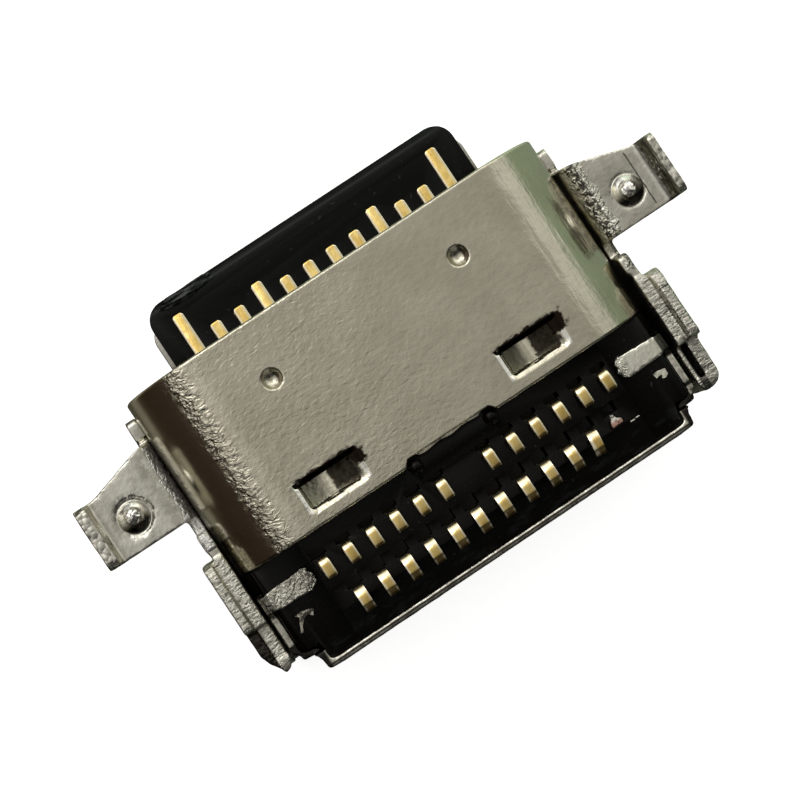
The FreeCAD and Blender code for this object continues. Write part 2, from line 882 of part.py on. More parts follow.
def rear_shield():
    """The whole shield, one folded sheet."""
    return joined(shield_tray() + shield_rear_wall() + both_sides(shield_tab()))


def build():
    """Every piece under its own name."""
    pieces = {}
    for place in range(1, contact_count + 1):
        pieces[f"upper_contact_{place:02d}"] = upper_contact(place)
    for place in range(1, contact_count + 1):
        pieces[f"lower_contact_{place:02d}"] = lower_contact(place)
    contacts = list(pieces.values())
    pieces["mid_plate"] = mid_plate()
    pieces["upper_contact_carrier"] = carrier(upper_carrier_length).cut(contacts)
    pieces["lower_contact_carrier"] = flipped(carrier(lower_carrier_length)).cut(contacts)
    inner_pieces = list(pieces.values())
    pieces["insulator_body"] = insulator_body(inner_pieces)
    pieces["upper_ground_pad"] = ground_pad()
    pieces["lower_ground_pad"] = flipped(ground_pad())
    pieces["mating_shell"] = mating_shell()
    pieces["mounting_bracket"] = mounting_bracket()
    pieces["rear_shield"] = rear_shield()
    return pieces


def save(pieces):
    """One file for each piece."""
    os.makedirs("parts", exist_ok=True)
    for name, shape in pieces.items():
        solids = shape.Solids
        print(name, "solids", len(solids), "volume", round(shape.Volume, 4), "valid", shape.isValid())
        if len(solids) == 1:
            shape = solids[0]
        shape.exportStep(f"parts/{name}.step")


save(build())
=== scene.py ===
import math

import bmesh
import bpy
import numpy as np
from mathutils import Matrix, Vector


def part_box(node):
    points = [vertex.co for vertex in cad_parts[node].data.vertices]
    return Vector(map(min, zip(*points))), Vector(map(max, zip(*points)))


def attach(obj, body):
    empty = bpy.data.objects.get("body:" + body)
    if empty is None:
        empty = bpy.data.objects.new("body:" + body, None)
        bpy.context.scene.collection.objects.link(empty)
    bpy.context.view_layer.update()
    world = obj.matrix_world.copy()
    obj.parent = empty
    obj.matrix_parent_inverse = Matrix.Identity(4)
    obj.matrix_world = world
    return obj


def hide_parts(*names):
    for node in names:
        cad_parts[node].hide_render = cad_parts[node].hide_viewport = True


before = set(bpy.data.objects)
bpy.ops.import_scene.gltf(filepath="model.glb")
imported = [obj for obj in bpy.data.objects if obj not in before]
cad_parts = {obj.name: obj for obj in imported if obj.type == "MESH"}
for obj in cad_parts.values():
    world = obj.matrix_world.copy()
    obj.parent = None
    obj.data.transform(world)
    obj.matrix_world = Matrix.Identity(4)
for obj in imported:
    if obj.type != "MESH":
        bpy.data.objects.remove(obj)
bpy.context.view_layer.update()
mm = 0.001  # one millimetre in the scene's metres

shellLow, shellHigh = (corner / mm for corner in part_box("mating_shell"))
middleHeight = (shellLow.z + shellHigh.z) / 2  # the tongue's middle plane
mouthY = shellHigh.y  # the shell's front rim
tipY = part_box("insulator_body")[1].y / mm  # the tongue's tip
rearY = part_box("rear_shield")[0].y / mm  # the rear shield's outer face


# Shader sums

class Flow:  # a node's output that can be added, multiplied and mixed
    def __init__(self, tree, socket=None):
        self.tree = tree
        self.socket = socket

    def node(self, kind, settings, inputs, output=0):
        made = self.tree.nodes.new(kind)
        stops = settings.pop("stops", None)
        if stops:
            ramp = made.color_ramp
            while len(ramp.elements) < len(stops):
                ramp.elements.new(0.5)
            for element, (place, colour) in zip(ramp.elements, stops):
                element.position = place
                element.color = colour
        for name, value in settings.items():
            setattr(made, name, value)
        for name, value in inputs.items():
            if isinstance(value, Flow):
                self.tree.links.new(value.socket, made.inputs[name])
            else:
                made.inputs[name].default_value = value
        return Flow(self.tree, made.outputs[output])

    def math(self, operation, *terms):
        return self.node("ShaderNodeMath", {"operation": operation}, dict(enumerate(terms)))

    def __add__(self, other): return self.math("ADD", self, other)
    def __radd__(self, other): return self.math("ADD", other, self)
    def __sub__(self, other): return self.math("SUBTRACT", self, other)
    def __rsub__(self, other): return self.math("SUBTRACT", other, self)
    def __mul__(self, other): return self.math("MULTIPLY", self, other)
    def __rmul__(self, other): return self.math("MULTIPLY", other, self)
    def __truediv__(self, other): return self.math("DIVIDE", self, other)
    def __pow__(self, other): return self.math("POWER", self, other)
    def __abs__(self): return self.math("ABSOLUTE", self)

    def most(self, other):  # the greater of the two
        return self.math("MAXIMUM", self, other)

    def ease(self, start, end):  # 0 at start, 1 at end, smooth between
        return self.node("ShaderNodeMapRange", {"interpolation_type": "SMOOTHSTEP"},
                         {0: self, 1: start, 2: end, 3: 0.0, 4: 1.0})

    def window(self, low, high, edge):  # 1 between low and high, with soft edges
        return self.ease(low - edge, low) * (1 - self.ease(high, high + edge))

    def mix(self, first, second):  # this flow is the factor between two colours
        return self.node("ShaderNodeMix", {"data_type": "RGBA"}, {0: self, 6: first, 7: second}, 2)


def place(tree):  # millimetres as one vector, and as across, along and up
    start = Flow(tree)
    metres = start.node("ShaderNodeTexCoord", {}, {}, 3)
    spot = start.node("ShaderNodeVectorMath", {"operation": "SCALE"}, {0: metres, "Scale": 1 / mm})
    split = [start.node("ShaderNodeSeparateXYZ", {}, {0: spot}, axis) for axis in range(3)]
    return spot, split


def stretched(spot, factors):
    return spot.node("ShaderNodeVectorMath", {"operation": "MULTIPLY"}, {0: spot, 1: factors})


def noise(spot, scale, detail=2.0, rough=0.5, warp=0.0):  # scale may be one number for each direction
    if isinstance(scale, tuple):
        spot, scale = stretched(spot, scale), 1.0
    inputs = {"Vector": spot, "Scale": scale, "Detail": detail, "Roughness": rough, "Distortion": warp}
    return spot.node("ShaderNodeTexNoise", {}, inputs)


def beads(spot, scale):  # 0 in the middle of each bead, higher towards its rim
    return spot.node("ShaderNodeTexVoronoi", {}, {"Vector": spot, "Scale": scale})


def relief(height, depth=1.0):  # a bump, where height times depth is in millimetres
    return height.node("ShaderNodeBump", {}, {"Distance": depth * mm, "Height": height})


def finish(build):  # a material whose nodes are made by the given function
    material = bpy.data.materials.new(build.__name__)
    material.use_nodes = True
    tree = material.node_tree
    tree.nodes.clear()
    shader = Flow(tree).node("ShaderNodeBsdfPrincipled", {}, build(*place(tree)))
    output = tree.nodes.new("ShaderNodeOutputMaterial")
    tree.links.new(shader.socket, output.inputs[0])
    return material


# Finishes. A pair of millimetres is where a mark fades in or out, or where it lies

shellFinish = {
    "light": (0.69, 0.655, 0.53, 1),
    "dark": (0.61, 0.575, 0.46, 1),
    # colour of the painted highlight on the pockets' side rims
    "rimHighlight": (0.95, 0.93, 0.86, 1),
    # dark colour of the painted shade at the pockets and beside the bracket, and of each pocket's darker
    # corner patch
    "shadeDark": (0.022, 0.015, 0.011, 1),
    "roughness": 0.17,
    "peelDepth": 0.006,
    "weaveDepth": 0.009,
    "weaveFrom": (-3.7, -3.5),  # across
    "weaveTo": (-1.2, 1.8),
    "pullDepth": 0.010,
    "pullFrom": (2.5, 3.2),
    "calmEdge": (-3.90, -3.70),  # left of here the sheet is smooth
    "wrinkleDepth": 0.042,
    "wrinkleFrom": (-3.60, -3.47),
    "wrinkleTo": (-3.34, -3.08),
    "cutShadeOut": (0.54, 0.70),  # painted shade under a pocket's cut edge, from the pocket's middle
    "cutShadeAlong": (-0.07, 0.025),  # from the cut edge
    "cornerDark": (0.46, 0.72),  # a darker patch over each pocket's right front corner
    "cornerDarkLong": 0.30,
    "shadeRight": (0.06, 0.52),  # the dark right part of the pushed-in sheet
    "shadeLeft": (-0.50, -0.14),
    "shadeLong": 0.46,
    "rimHighlightOut": (0.585, 0.645),  # painted highlight on a pocket's side rims
    "rimHighlightAlong": (0.08, 0.62),
    "gap": (-4.40, -4.32),  # the tube's left side, in the bracket's shade
    "gapFront": (1.55, 1.70),
}


def pocketMarks(split, peel, weave):  # each pocket's painted shade under its cut edge and in its pushed-in sheet, a darker patch at its right front corner, and a painted highlight on its side rims
    across, along, up = split
    form = shellFinish
    cut = mouthY - shellShape["pocketBehindRim"]
    ragged = (peel - 0.5) * 0.5
    side = across.math("GREATER_THAN", across, 0) * 2 - 1
    offPocket = across - shellShape["pocketShift"] - side * (shellShape["pocketSpacing"] / 2)
    rightOf = offPocket + ragged * 0.6
    behind, ahead = form["cutShadeAlong"]
    # painted shade under the cut edge, where the pushed-in sheet drops away
    pocketShade = 1 - (abs(offPocket) + ragged).ease(*form["cutShadeOut"])
    pocketShade = pocketShade * (along + (weave - 0.5) * 0.14).window(cut + behind, cut + ahead, 0.035)
    # darker over the pocket's right front corner
    cornerDark = rightOf.window(*form["cornerDark"], 0.07)
    cornerDark = cornerDark * (along + ragged * 0.4).window(cut - form["cornerDarkLong"], cut, 0.05)
    shade = rightOf.window(*form["shadeRight"], 0.04) * (1.04 - peel * 0.3)
    shade = shade + offPocket.window(*form["shadeLeft"], 0.03) * 0.35
    shade = shade * (along + ragged * 0.3).window(cut - form["shadeLong"], cut, 0.09)
    near, far = form["rimHighlightAlong"]
    # painted highlight along the pocket's side rims
    rim = abs(offPocket).window(*form["rimHighlightOut"], 0.015) * along.window(cut - far, cut - near, 0.04)
    return pocketShade.most(cornerDark).most(shade), rim


def shellSteel(spot, split):
    across, along, up = split
    form = shellFinish
    cloud = noise(spot, 0.9, 4.0, 0.6)
    peel = noise(spot, 9.0, 3.0, 0.55)
    weave = noise(spot, (8.0, 13.0, 8.0), 3.0, 0.6, 0.5)
    pull = noise(spot, (9.0, 0.9, 9.0), 3.0, 0.6)
    wrinkle = noise(spot, (5.5, 8.0, 5.5), 3.0, 0.55, 1.3)
    above = up.ease(middleHeight, middleHeight + 0.7)
    leftHalf = (1 - across.ease(*form["weaveTo"])) * across.ease(*form["weaveFrom"])
    bend = (across + (peel - 0.5) * 0.4).ease(*form["wrinkleFrom"])
    bend = bend * (1 - across.ease(*form["wrinkleTo"])) * above
    height = peel * form["peelDepth"] + weave * (leftHalf * 0.75 + 0.25) * form["weaveDepth"]
    height = height + pull * across.ease(*form["pullFrom"]) * form["pullDepth"]
    height = height * (across.ease(*form["calmEdge"]) * 0.8 + 0.2)
    height = height + wrinkle * bend * form["wrinkleDepth"]
    pocketShade, rim = pocketMarks(split, peel, weave)
    gap = (1 - across.ease(*form["gap"])) * (1 - along.ease(*form["gapFront"]))
    # painted shade at the pockets and on the tube's side in the bracket's shade, with each pocket's darker
    # corner patch
    shadeAndMarks = (pocketShade * above).most(gap * 0.85)
    base = cloud.ease(0.35, 0.65).mix(form["dark"], form["light"])
    # painted highlight on each pocket's side rims
    base = (rim * above).mix(base, form["rimHighlight"])
    return {
        "Base Color": shadeAndMarks.mix(base, form["shadeDark"]),
        "Metallic": 1.0,
        "Roughness": form["roughness"] + (peel - 0.5) * 0.12 + shadeAndMarks * 0.4,
        "Normal": relief(height),
    }


bracketFinish = {
    "light": (0.74, 0.72, 0.64, 1),
    "dark": (0.56, 0.54, 0.47, 1),
    # colour of the painted highlight on the bumps and the left ear's shoulder
    "paintedHighlight": (0.98, 0.97, 0.93, 1),
    # dark colour of the painted shade and of the stains, specks, crack and other dark marks
    "shadeAndMarkDark": (0.022, 0.018, 0.014, 1),
    "roughness": 0.22,
    "peelDepth": 0.010,
    "crushDepth": 0.06,
    "beadDepth": 0.018,
    "facetDepth": 0.07,
    "wallOut": 4.43,  # where the ear's rounded shoulder begins, out from the middle
    "lipOut": 5.95,
    "earRear": (-0.66, -0.60),  # along
    "earFront": (1.55, 1.62),
    "frontTab": (1.6, 1.7),
    "legFront": (-0.85, -0.75),
    "rearY": -2.30,  # the leg is lower behind here
    "shearedTop": (0.38, 0.44),  # above the tongue's middle
    "bump": (5.40, 0.62),  # the ear bump's middle, out and along
    "crystal": (0.12, 0.20),  # from the bump's middle
    # the painted shade crescent on the bump's lower side, from its middle
    "crescent": (0.15, 0.27),
    "crack": (5.705, 5.722),
    "crackAlong": (0.15, 1.22),
}


def bumpMarks(out, along):  # crystals, a crescent of painted shade on the lower side and a painted highlight on the upper half
    bumpOut, bumpAlong = bracketFinish["bump"]
    ahead = along - bumpAlong
    away = ((out - bumpOut) ** 2 + ahead ** 2) ** 0.5
    crystal = 1 - away.ease(*bracketFinish["crystal"])
    crescent = away.window(*bracketFinish["crescent"], 0.04) * (1 - ahead.ease(-0.16, -0.06))
    paintedHighlight = (1 - away.ease(0.25, 0.30)) * ahead.ease(-0.08, 0.02)
    return crystal, crescent, paintedHighlight


def bracketSteel(spot, split):
    across, along, up = split
    form = bracketFinish
    wallOut, lipOut, rearFrom = form["wallOut"], form["lipOut"], form["rearY"]
    out = abs(across)
    over = up - middleHeight
    right = across.ease(-0.5, 0.5)
    left = 1 - right
    cloud = noise(spot, 2.0, 5.0, 0.65)
    peel = noise(spot, 7.0, 4.0, 0.6)
    crush = noise(spot, 13.0, 2.0, 0.5, 0.9)
    blobs = noise(spot, (4.0, 17.0, 6.0), 3.0, 0.6, 0.6)
    lipBlobs = beads(stretched(spot, (0.7, 0.6, 1.0)), 13.0)
    facets = noise(spot, 7.0, 1.0, 0.4, 0.5)
    ear = along.ease(*form["earRear"]) * (1 - along.ease(*form["earFront"]))
    earTop = ear * over.ease(-0.2, 0.1)
    legs = 1 - along.ease(*form["legFront"])
    rear = 1 - along.ease(rearFrom, rearFrom + 0.05)
    top = over.ease(*form["shearedTop"])
    lip = out.ease(lipOut, lipOut + 0.06)
    sheared = (top * (legs + along.ease(*form["frontTab"]))).most(rear * 0.8)
    frayed = out + (peel - 0.5) * 0.3
    bend = frayed.window(wallOut, wallOut + 0.17, 0.05) * left * 0.8
    bend = (bend + frayed.window(wallOut + 0.24, wallOut + 0.40, 0.12) * right) * earTop
    # painted highlight on the left ear's rounded shoulder
    shoulder = frayed.window(wallOut + 0.02, wallOut + 0.26, 0.04) * left * earTop
    crystal, crescent, paintedHighlight = bumpMarks(out, along)
    height = peel * form["peelDepth"] + crush * bend * form["crushDepth"]
    height = height + (crush + blobs * 1.6) * sheared * form["beadDepth"]
    height = height - lipBlobs * top * lip * form["beadDepth"] * 1.3
    height = height + facets * crystal * form["facetDepth"]
    # painted shade on the left leaf's rear part, which lies deep in shade
    leaf = out.ease(wallOut + 0.24, wallOut + 0.26) * rear * left
    stains = (cloud * blobs).ease(0.30, 0.36) * sheared
    # dark specks over the right ear's crushed bend
    crushSpecks = crush.ease(0.46, 0.54) * out.window(wallOut + 0.22, wallOut + 0.36, 0.05) * earTop * right
    # painted shade in the right leg's fold, between wall and leaf
    fold = out.window(wallOut + 0.14, wallOut + 0.26, 0.02) * rear * right
    crack = (across + (peel - 0.5) * 0.05).window(*form["crack"], 0.010)
    crack = crack * along.window(*form["crackAlong"], 0.04)
    lipFace = out.window(lipOut + 0.02, lipOut + 0.14, 0.03) * ear * right
    # painted shade on the left leaf, the bump crescents and the right leg's fold, with the sheared edges'
    # stains, the dark specks, the crack and the darker right lip face
    shadeAndMarks = leaf * (1.1 - blobs * 0.3) + stains * 0.6 + crushSpecks * 0.9 + crescent * 0.93
    shadeAndMarks = shadeAndMarks + fold * 0.8 + crack * 0.8 + lipFace * 0.7
    shadeAndMarks = shadeAndMarks.math("MINIMUM", shadeAndMarks, 1.0)
    base = cloud.ease(0.30, 0.62).mix(form["dark"], form["light"])
    # painted highlight on each bump's upper half and on the left ear's rounded shoulder
    base = paintedHighlight.most(shoulder).mix(base, form["paintedHighlight"])
    return {
        "Base Color": shadeAndMarks.mix(base, form["shadeAndMarkDark"]),
        "Metallic": 1.0,
        "Roughness": form["roughness"] + (peel - 0.5) * 0.2 + sheared * 0.06 + shoulder * 0.25,
        "Normal": relief(height),
    }


shieldFinish = {
    "light": (0.76, 0.74, 0.65, 1),
    "dark": (0.44, 0.41, 0.35, 1),
    "rightTab": (0.86, 0.845, 0.73, 1),
    "shadeAndMarkDark": (0.018, 0.016, 0.013, 1),
    "roughness": 0.22,
    "peelDepth": 0.007,
    "scuffDepth": 0.045,
    "tabTop": (0.80, 0.84),  # above the tongue's middle
    "tabEnd": (3.46, 3.56),  # out from the middle
    "tabRoot": (4.17, 4.20),
    "tabAlong": (-2.3, -1.8),
    "corner": (3.84, 3.90),
    "stepY": (-2.90, -2.85),  # the body is narrower behind here
    "bright": [(3.98, 4.11), (4.25, 4.36)],  # two patches on the right corner that the painted shade leaves out
    "brightAlong": (-3.1, -2.97),
    "groove": (0.070, 0.092),  # from the outer rear face
}


def shieldSteel(spot, split):
    across, along, up = split
    form = shieldFinish
    out = abs(across)
    over = up - middleHeight
    left = 1 - across.ease(-0.5, 0.5)
    cloud = noise(spot, 3.4, 5.0, 0.6)
    peel = noise(spot, 8.0, 3.0, 0.5)
    scuff = noise(spot, (9.0, 7.0, 9.0), 3.0, 0.6, 1.2)
    tab = over.ease(*form["tabTop"]) * along.ease(-2.6, -2.5)
    rough = tab * left + (1 - out.ease(*form["tabEnd"])) * tab + (1 - tab) * 0.1
    height = peel * form["peelDepth"] + scuff * (0.12 + rough * 0.88) * form["scuffDepth"]
    # painted shade at each tab's root bend
    root = out.ease(*form["tabRoot"]) * along.window(*form["tabAlong"], 0.02) * (0.94 - left * 0.34)
    bright = sum(across.window(low, high, 0.02) for low, high in form["bright"])
    bright = bright * along.window(*form["brightAlong"], 0.03)
    # painted shade over the stepped corners, left out at the two brighter patches
    corner = out.ease(*form["corner"]) * (1 - along.ease(*form["stepY"])) * (1 - bright * 0.9)
    high = over.ease(0.7, 0.8)
    near, far = form["groove"]
    groove = along.window(rearY + near, rearY + far, 0.012) * high
    rearTop = (1 - along.ease(rearY + 0.065, rearY + 0.08)) * high
    # painted shade at the tab roots and corners, with the dark groove line and a darker rear top edge
    shadeAndMarks = root.most(corner * 0.98).most(groove * 0.95).most(rearTop * 0.55)
    base = cloud.ease(0.35, 0.65).mix(form["dark"], form["light"])
    base = (tab * (1 - left)).mix(base, form["rightTab"])
    return {
        "Base Color": shadeAndMarks.mix(base, form["shadeAndMarkDark"]),
        "Metallic": 1.0,
        "Roughness": form["roughness"] + (scuff - 0.5) * 0.2,
        "Normal": relief(height),
    }


def plateSteel(spot, split):
    drawn = noise(spot, (4.0, 30.0, 30.0), 3.0, 0.5)
    return {
        "Base Color": drawn.ease(0.3, 0.7).mix((0.48, 0.47, 0.42, 1), (0.62, 0.60, 0.54, 1)),
        "Metallic": 1.0,
        "Roughness": 0.32 + (drawn - 0.5) * 0.15,
        "Normal": relief(drawn, 0.003),
    }


mouldingFinish = {
    "front": (0.0036, 0.0040, 0.0036, 1),
    "rear": (0.0014, 0.0010, 0.0006, 1),
    "dustAndSheenGrey": (0.045, 0.05, 0.055, 1),
    "roughness": 0.30,
    "grainDepth": 0.004,
    "ledge": (0.35, 0.62),  # the dusty ledge, from the rear shield's outer face
    "line": (-0.145, -0.125),  # a fine painted highlight along the tip's bevel line, from the tongue's tip
    "lineAcross": (-1.8, 2.9),
}


def blackMoulding(spot, split):
    across, along, up = split
    form = mouldingFinish
    cloud = noise(spot, 1.3, 4.0, 0.6)
    grain = noise(spot, 16.0, 3.0, 0.55)
    haze = noise(spot, (2.0, 6.0, 2.0), 4.0, 0.7).ease(0.48, 0.75)
    speck = noise(spot, 12.0, 1.0, 0.4).ease(0.73, 0.79)
    ledge = 1 - (along - rearY).ease(*form["ledge"])
    line = (along - tipY).window(*form["line"], 0.012) * across.window(*form["lineAcross"], 0.1)
    # real dust on the ledge and in specks, with the painted highlight of the tip's bevel line
    dustAndSheen = haze * (ledge * 0.28 + 0.02) + speck * 0.55 + line * 0.22
    base = along.ease(mouthY - 1.5, mouthY).mix(form["rear"], form["front"])
    return {
        "Base Color": dustAndSheen.mix(base, form["dustAndSheenGrey"]),
        "Roughness": form["roughness"] + (cloud - 0.5) * 0.2 + dustAndSheen * 0.4,
        "Specular IOR Level": 0.17,
        "Normal": relief(grain, form["grainDepth"]),
    }


def scarMoulding(spot, split):  # the torn gate, greener and glossier
    crumb = noise(spot, 5.0, 3.0, 0.55)
    return {
        "Base Color": crumb.ease(0.4, 0.7).mix((0.004, 0.006, 0.005, 1), (0.022, 0.03, 0.026, 1)),
        "Roughness": 0.24 + (crumb - 0.5) * 0.2,
        "Specular IOR Level": 0.4,
        "Normal": relief(crumb, 0.04),
    }


def carrierMoulding(spot, split):
    grain = noise(spot, 20.0, 3.0, 0.6)
    return {
        "Base Color": grain.ease(0.3, 0.7).mix((0.016, 0.016, 0.017, 1), (0.026, 0.026, 0.028, 1)),
        "Roughness": 0.6 + (grain - 0.5) * 0.1,
        "Normal": relief(grain, 0.004),
    }


goldFinish = {
    "light": (0.95, 0.72, 0.28, 1),
    "dark": (0.78, 0.55, 0.17, 1),
    "paintedHighlight": (1.0, 0.93, 0.74, 1),
    "footShadeDark": (0.10, 0.065, 0.03, 1),
    "roughness": 0.2,
    "drawnDepth": 0.004,
    "halfPitch": 0.25,  # feet and tongue contacts lie on multiples of this
    # the painted highlight lies on the feet's tops and ends, and along every contact's edges
    "footTops": [(-1.93, -1.70), (-2.74, -2.50)],
    # painted shade bands where the feet bend away and reflect dark
    "footShadeBands": [(-2.25, -2.19), (-3.12, -3.00)],
    "footEnds": [(-2.40, -2.262), (-3.25, -3.135)],
}


def contactGold(spot, split):
    across, along, up = split
    form = goldFinish
    drawn = noise(spot, (24.0, 6.0, 9.0), 3.0, 0.5)
    cloud = noise(spot, 4.0, 3.0, 0.5)
    offMiddle = across.math("PINGPONG", across, form["halfPitch"] / 2)
    # painted highlight along each contact's edges, and on the feet's tops and ends
    paintedHighlight = (offMiddle + (drawn - 0.5) * 0.03).ease(0.055, 0.085) * 0.8
    for low, high in form["footTops"] + form["footEnds"]:
        paintedHighlight = paintedHighlight.most(along.window(low, high, 0.04) * 0.6)
    ragged = along + (cloud - 0.5) * 0.05
    # painted shade across the feet where they bend away, darker in the middle than at the edges
    footShade = sum(ragged.window(low, high, 0.03) for low, high in form["footShadeBands"])
    footShade = footShade * (0.85 - offMiddle.ease(0.05, 0.09) * 0.45)
    base = cloud.ease(0.35, 0.65).mix(form["dark"], form["light"])
    return {
        "Base Color": footShade.mix(paintedHighlight.mix(base, form["paintedHighlight"]), form["footShadeDark"]),
        "Metallic": 1.0,
        "Roughness": form["roughness"] + (drawn - 0.5) * 0.15,
        "Normal": relief(drawn, form["drawnDepth"]),
    }


def tornCopper(spot, split):  # the broken foot: bare reddish metal with a pale torn tip
    across, along, up = split
    crumb = noise(spot, 14.0, 4.0, 0.6)
    tip = (along + (crumb - 0.5) * 0.08).ease(-2.76, -2.70)
    return {
        "Base Color": tip.mix((0.42, 0.25, 0.20, 1), (0.92, 0.88, 0.80, 1)),
        "Metallic": 0.9,
        "Roughness": 0.38 + (crumb - 0.5) * 0.2,
        "Normal": relief(crumb, 0.05),
    }


def slitShadeDark(spot, split):  # a dark finish on the closed faces under a pocket's cut edge: painted shade, and the black moulding seen through the slit
    grain = noise(spot, 20.0)
    return {
        "Base Color": grain.mix((0.004, 0.004, 0.004, 1), (0.009, 0.009, 0.008, 1)),
        "Roughness": 0.7,
        "Specular IOR Level": 0.1,
    }


shellShape = {
    "sheet": 0.25,
    "rimRound": 0.06,
    "rearRound": 0.05,
    "rearRows": (0.080, 0.084, 0.115, 0.155, 0.19),  # depths of the grid's rows down the rear edge
    "coarse": 0.048,
    "fine": 0.022,
    "dimpleSpacing": 3.96,
    "dimpleBehindRim": 1.11,
    "dimpleRadius": 0.20,
    "dimpleDepth": 0.12,
    "dimpleZone": 0.27,  # the grid is fine this far round a dimple's middle
    "pocketSpacing": 4.28,
    "pocketShift": 0.05,
    "pocketWidth": 1.31,
    "pocketLength": 0.66,
    "pocketBehindRim": 2.88,
    "pocketCorner": 0.17,
    "pocketRim": 0.085,  # width of the sloping rim at the sides and rear
    "pocketRimDrop": 0.036,
    "pocketSlope": 0.95,  # steepness of the pushed-in trough
    "pocketZone": 0.03,
    "troughRound": 0.15,
    "troughOff": -0.07,  # its lowest line, from the pocket's middle
    "troughRise": 0.12,  # how much shallower it is at the rear
    "cutDrop": 0.22,
    "cutStep": 0.004,  # between the grid's rows at the cut edge
    "innerShare": 0.85,  # how much of each press shows on the inner face
    "notchMiddle": 0.09,
    "notchWidth": 1.70,
    "notchDepth": 0.13,
    "notchLip": 0.05,  # the sheared edge in the notch
    "lipHalf": (0.70, 0.62),
    "lipUnder": 0.082,
    "grain": [(0.11, 0.0012, 3), (0.3, 0.0015, 4)],  # cell size, depth and seed
    "calmSides": (3.6, 3.9),  # out from the middle
    "wrinkleCell": 0.075,
    "wrinkleHeight": 0.012,
    "wrinkleStart": (3.12, 3.35),
    "wrinkleEnd": (3.44, 3.64),
    "skin": 0.003,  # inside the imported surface
}

finishes = {
    "shell_steel": finish(shellSteel),
    "bracket_steel": finish(bracketSteel),
    "shield_steel": finish(shieldSteel),
    "plate_steel": finish(plateSteel),
    "black_moulding": finish(blackMoulding),
    "carrier_moulding": finish(carrierMoulding),
    "contact_gold": finish(contactGold),
    "slit": finish(slitShadeDark),
    "torn": finish(tornCopper),
    "scar": finish(scarMoulding),
}
print("finishes made:", len(finishes))


# Mesh helpers, all in millimetres until the piece is placed

def lattice(points, cell, seed):  # smooth random numbers from -1 to 1 at each point
    size = 32
    shift = 1000.37  # keeps every cell's number above zero
    table = np.random.default_rng(seed).uniform(-1, 1, (size, size, size))
    scaled = points / cell + shift
    low = np.floor(scaled).astype(int)
    part = scaled - low
    part = part * part * (3 - 2 * part)
    total = np.zeros(len(points))
    for corner in range(8):
        step = np.array([corner & 1, corner >> 1 & 1, corner >> 2])
        weight = np.prod(np.where(step, part, 1 - part), axis=1)
        index = (low + step) % size
        total += weight * table[index[:, 0], index[:, 1], index[:, 2]]
    return total


def threes(items, field):  # three numbers of each item, one row for each
    numbers = np.empty(len(items) * 3)
    items.foreach_get(field, numbers)
    return numbers.reshape(-1, 3)


def setPoints(mesh, points):
    mesh.vertices.foreach_set("co", points.ravel())
    mesh.update()


def reshaped(mesh, change):
    setPoints(mesh, change(threes(mesh.vertices, "co")))


def meshOf(name, work):
    mesh = bpy.data.meshes.new(name)
    work.to_mesh(mesh)
    work.free()
    return mesh


def smoothstep(value, start, end):
    share = np.clip((value - start) / (end - start), 0, 1)
    return share * share * (3 - 2 * share)


def linked(name, data):
    made = bpy.data.objects.new(name, data)
    bpy.context.scene.collection.objects.link(made)
    return made


def placed(piece, slot, *replaced, sharp):  # back to metres, with its finish and its place in the frame
    mesh = piece.data
    mesh.transform(Matrix.Scale(mm, 4))
    if not mesh.materials:
        mesh.materials.append(finishes[slot])
    mesh.shade_smooth()
    mesh.set_sharp_from_angle(angle=math.radians(sharp))
    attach(piece, "root")
    if replaced:
        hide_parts(*replaced)


def cadCopy(name, node):  # a clean copy of a node's mesh, with its flat faces whole
    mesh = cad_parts[node].data.copy()
    mesh.materials.clear()
    mesh.transform(Matrix.Scale(1 / mm, 4))
    work = bmesh.new()
    work.from_mesh(mesh)
    bmesh.ops.remove_doubles(work, verts=work.verts, dist=0.0005)
    bmesh.ops.dissolve_limit(work, angle_limit=math.radians(1), verts=work.verts, edges=work.edges)
    work.to_mesh(mesh)
    work.free()
    return linked(name, mesh)


def sliced(piece, axis, places):  # extra edges across the mesh, so that it can bend there
    work = bmesh.new()
    work.from_mesh(piece.data)
    normal = [0.0, 0.0, 0.0]
    normal[axis] = 1.0
    for where in places:
        spot = [where * share for share in normal]
        everything = work.verts[:] + work.edges[:] + work.faces[:]
        bmesh.ops.bisect_plane(work, geom=everything, plane_co=spot, plane_no=normal)
    work.to_mesh(piece.data)
    work.free()
    return piece


def baked(piece):  # the piece's modifiers become its mesh
    graph = bpy.context.evaluated_depsgraph_get()
    mesh = bpy.data.meshes.new_from_object(piece.evaluated_get(graph))
    piece.modifiers.clear()
    piece.data = mesh
    return piece


def bevelled(piece, width, segments, angle):
    modifier = piece.modifiers.new("edges", "BEVEL")
    modifier.width = width
    modifier.segments = segments
    modifier.limit_method = "ANGLE"
    modifier.angle_limit = math.radians(angle)
    return baked(piece)


def remeshed(piece, voxel, rounds, keepFlat):
    modifier = piece.modifiers.new("skin", "REMESH")
    modifier.mode = "VOXEL"
    modifier.voxel_size = voxel
    modifier.adaptivity = keepFlat
    baked(piece)
    work = bmesh.new()
    work.from_mesh(piece.data)
    for _ in range(rounds):
        bmesh.ops.smooth_vert(work, verts=work.verts, factor=0.5,
                              use_axis_x=True, use_axis_y=True, use_axis_z=True)
    work.to_mesh(piece.data)
    work.free()
    return piece


def roughen(piece, amounts):  # each row is (cell size, depth, seed); the skin only moves inwards
    normals = threes(piece.data.vertex_normals, "vector")

    def pushed(points):
        push = sum((lattice(points, cell, seed) + 1) / 2 * depth for cell, depth, seed in amounts)
        return points - normals * push[:, None]

    reshaped(piece.data, pushed)


# The mating shell: a grid that runs round the tube and over both its faces

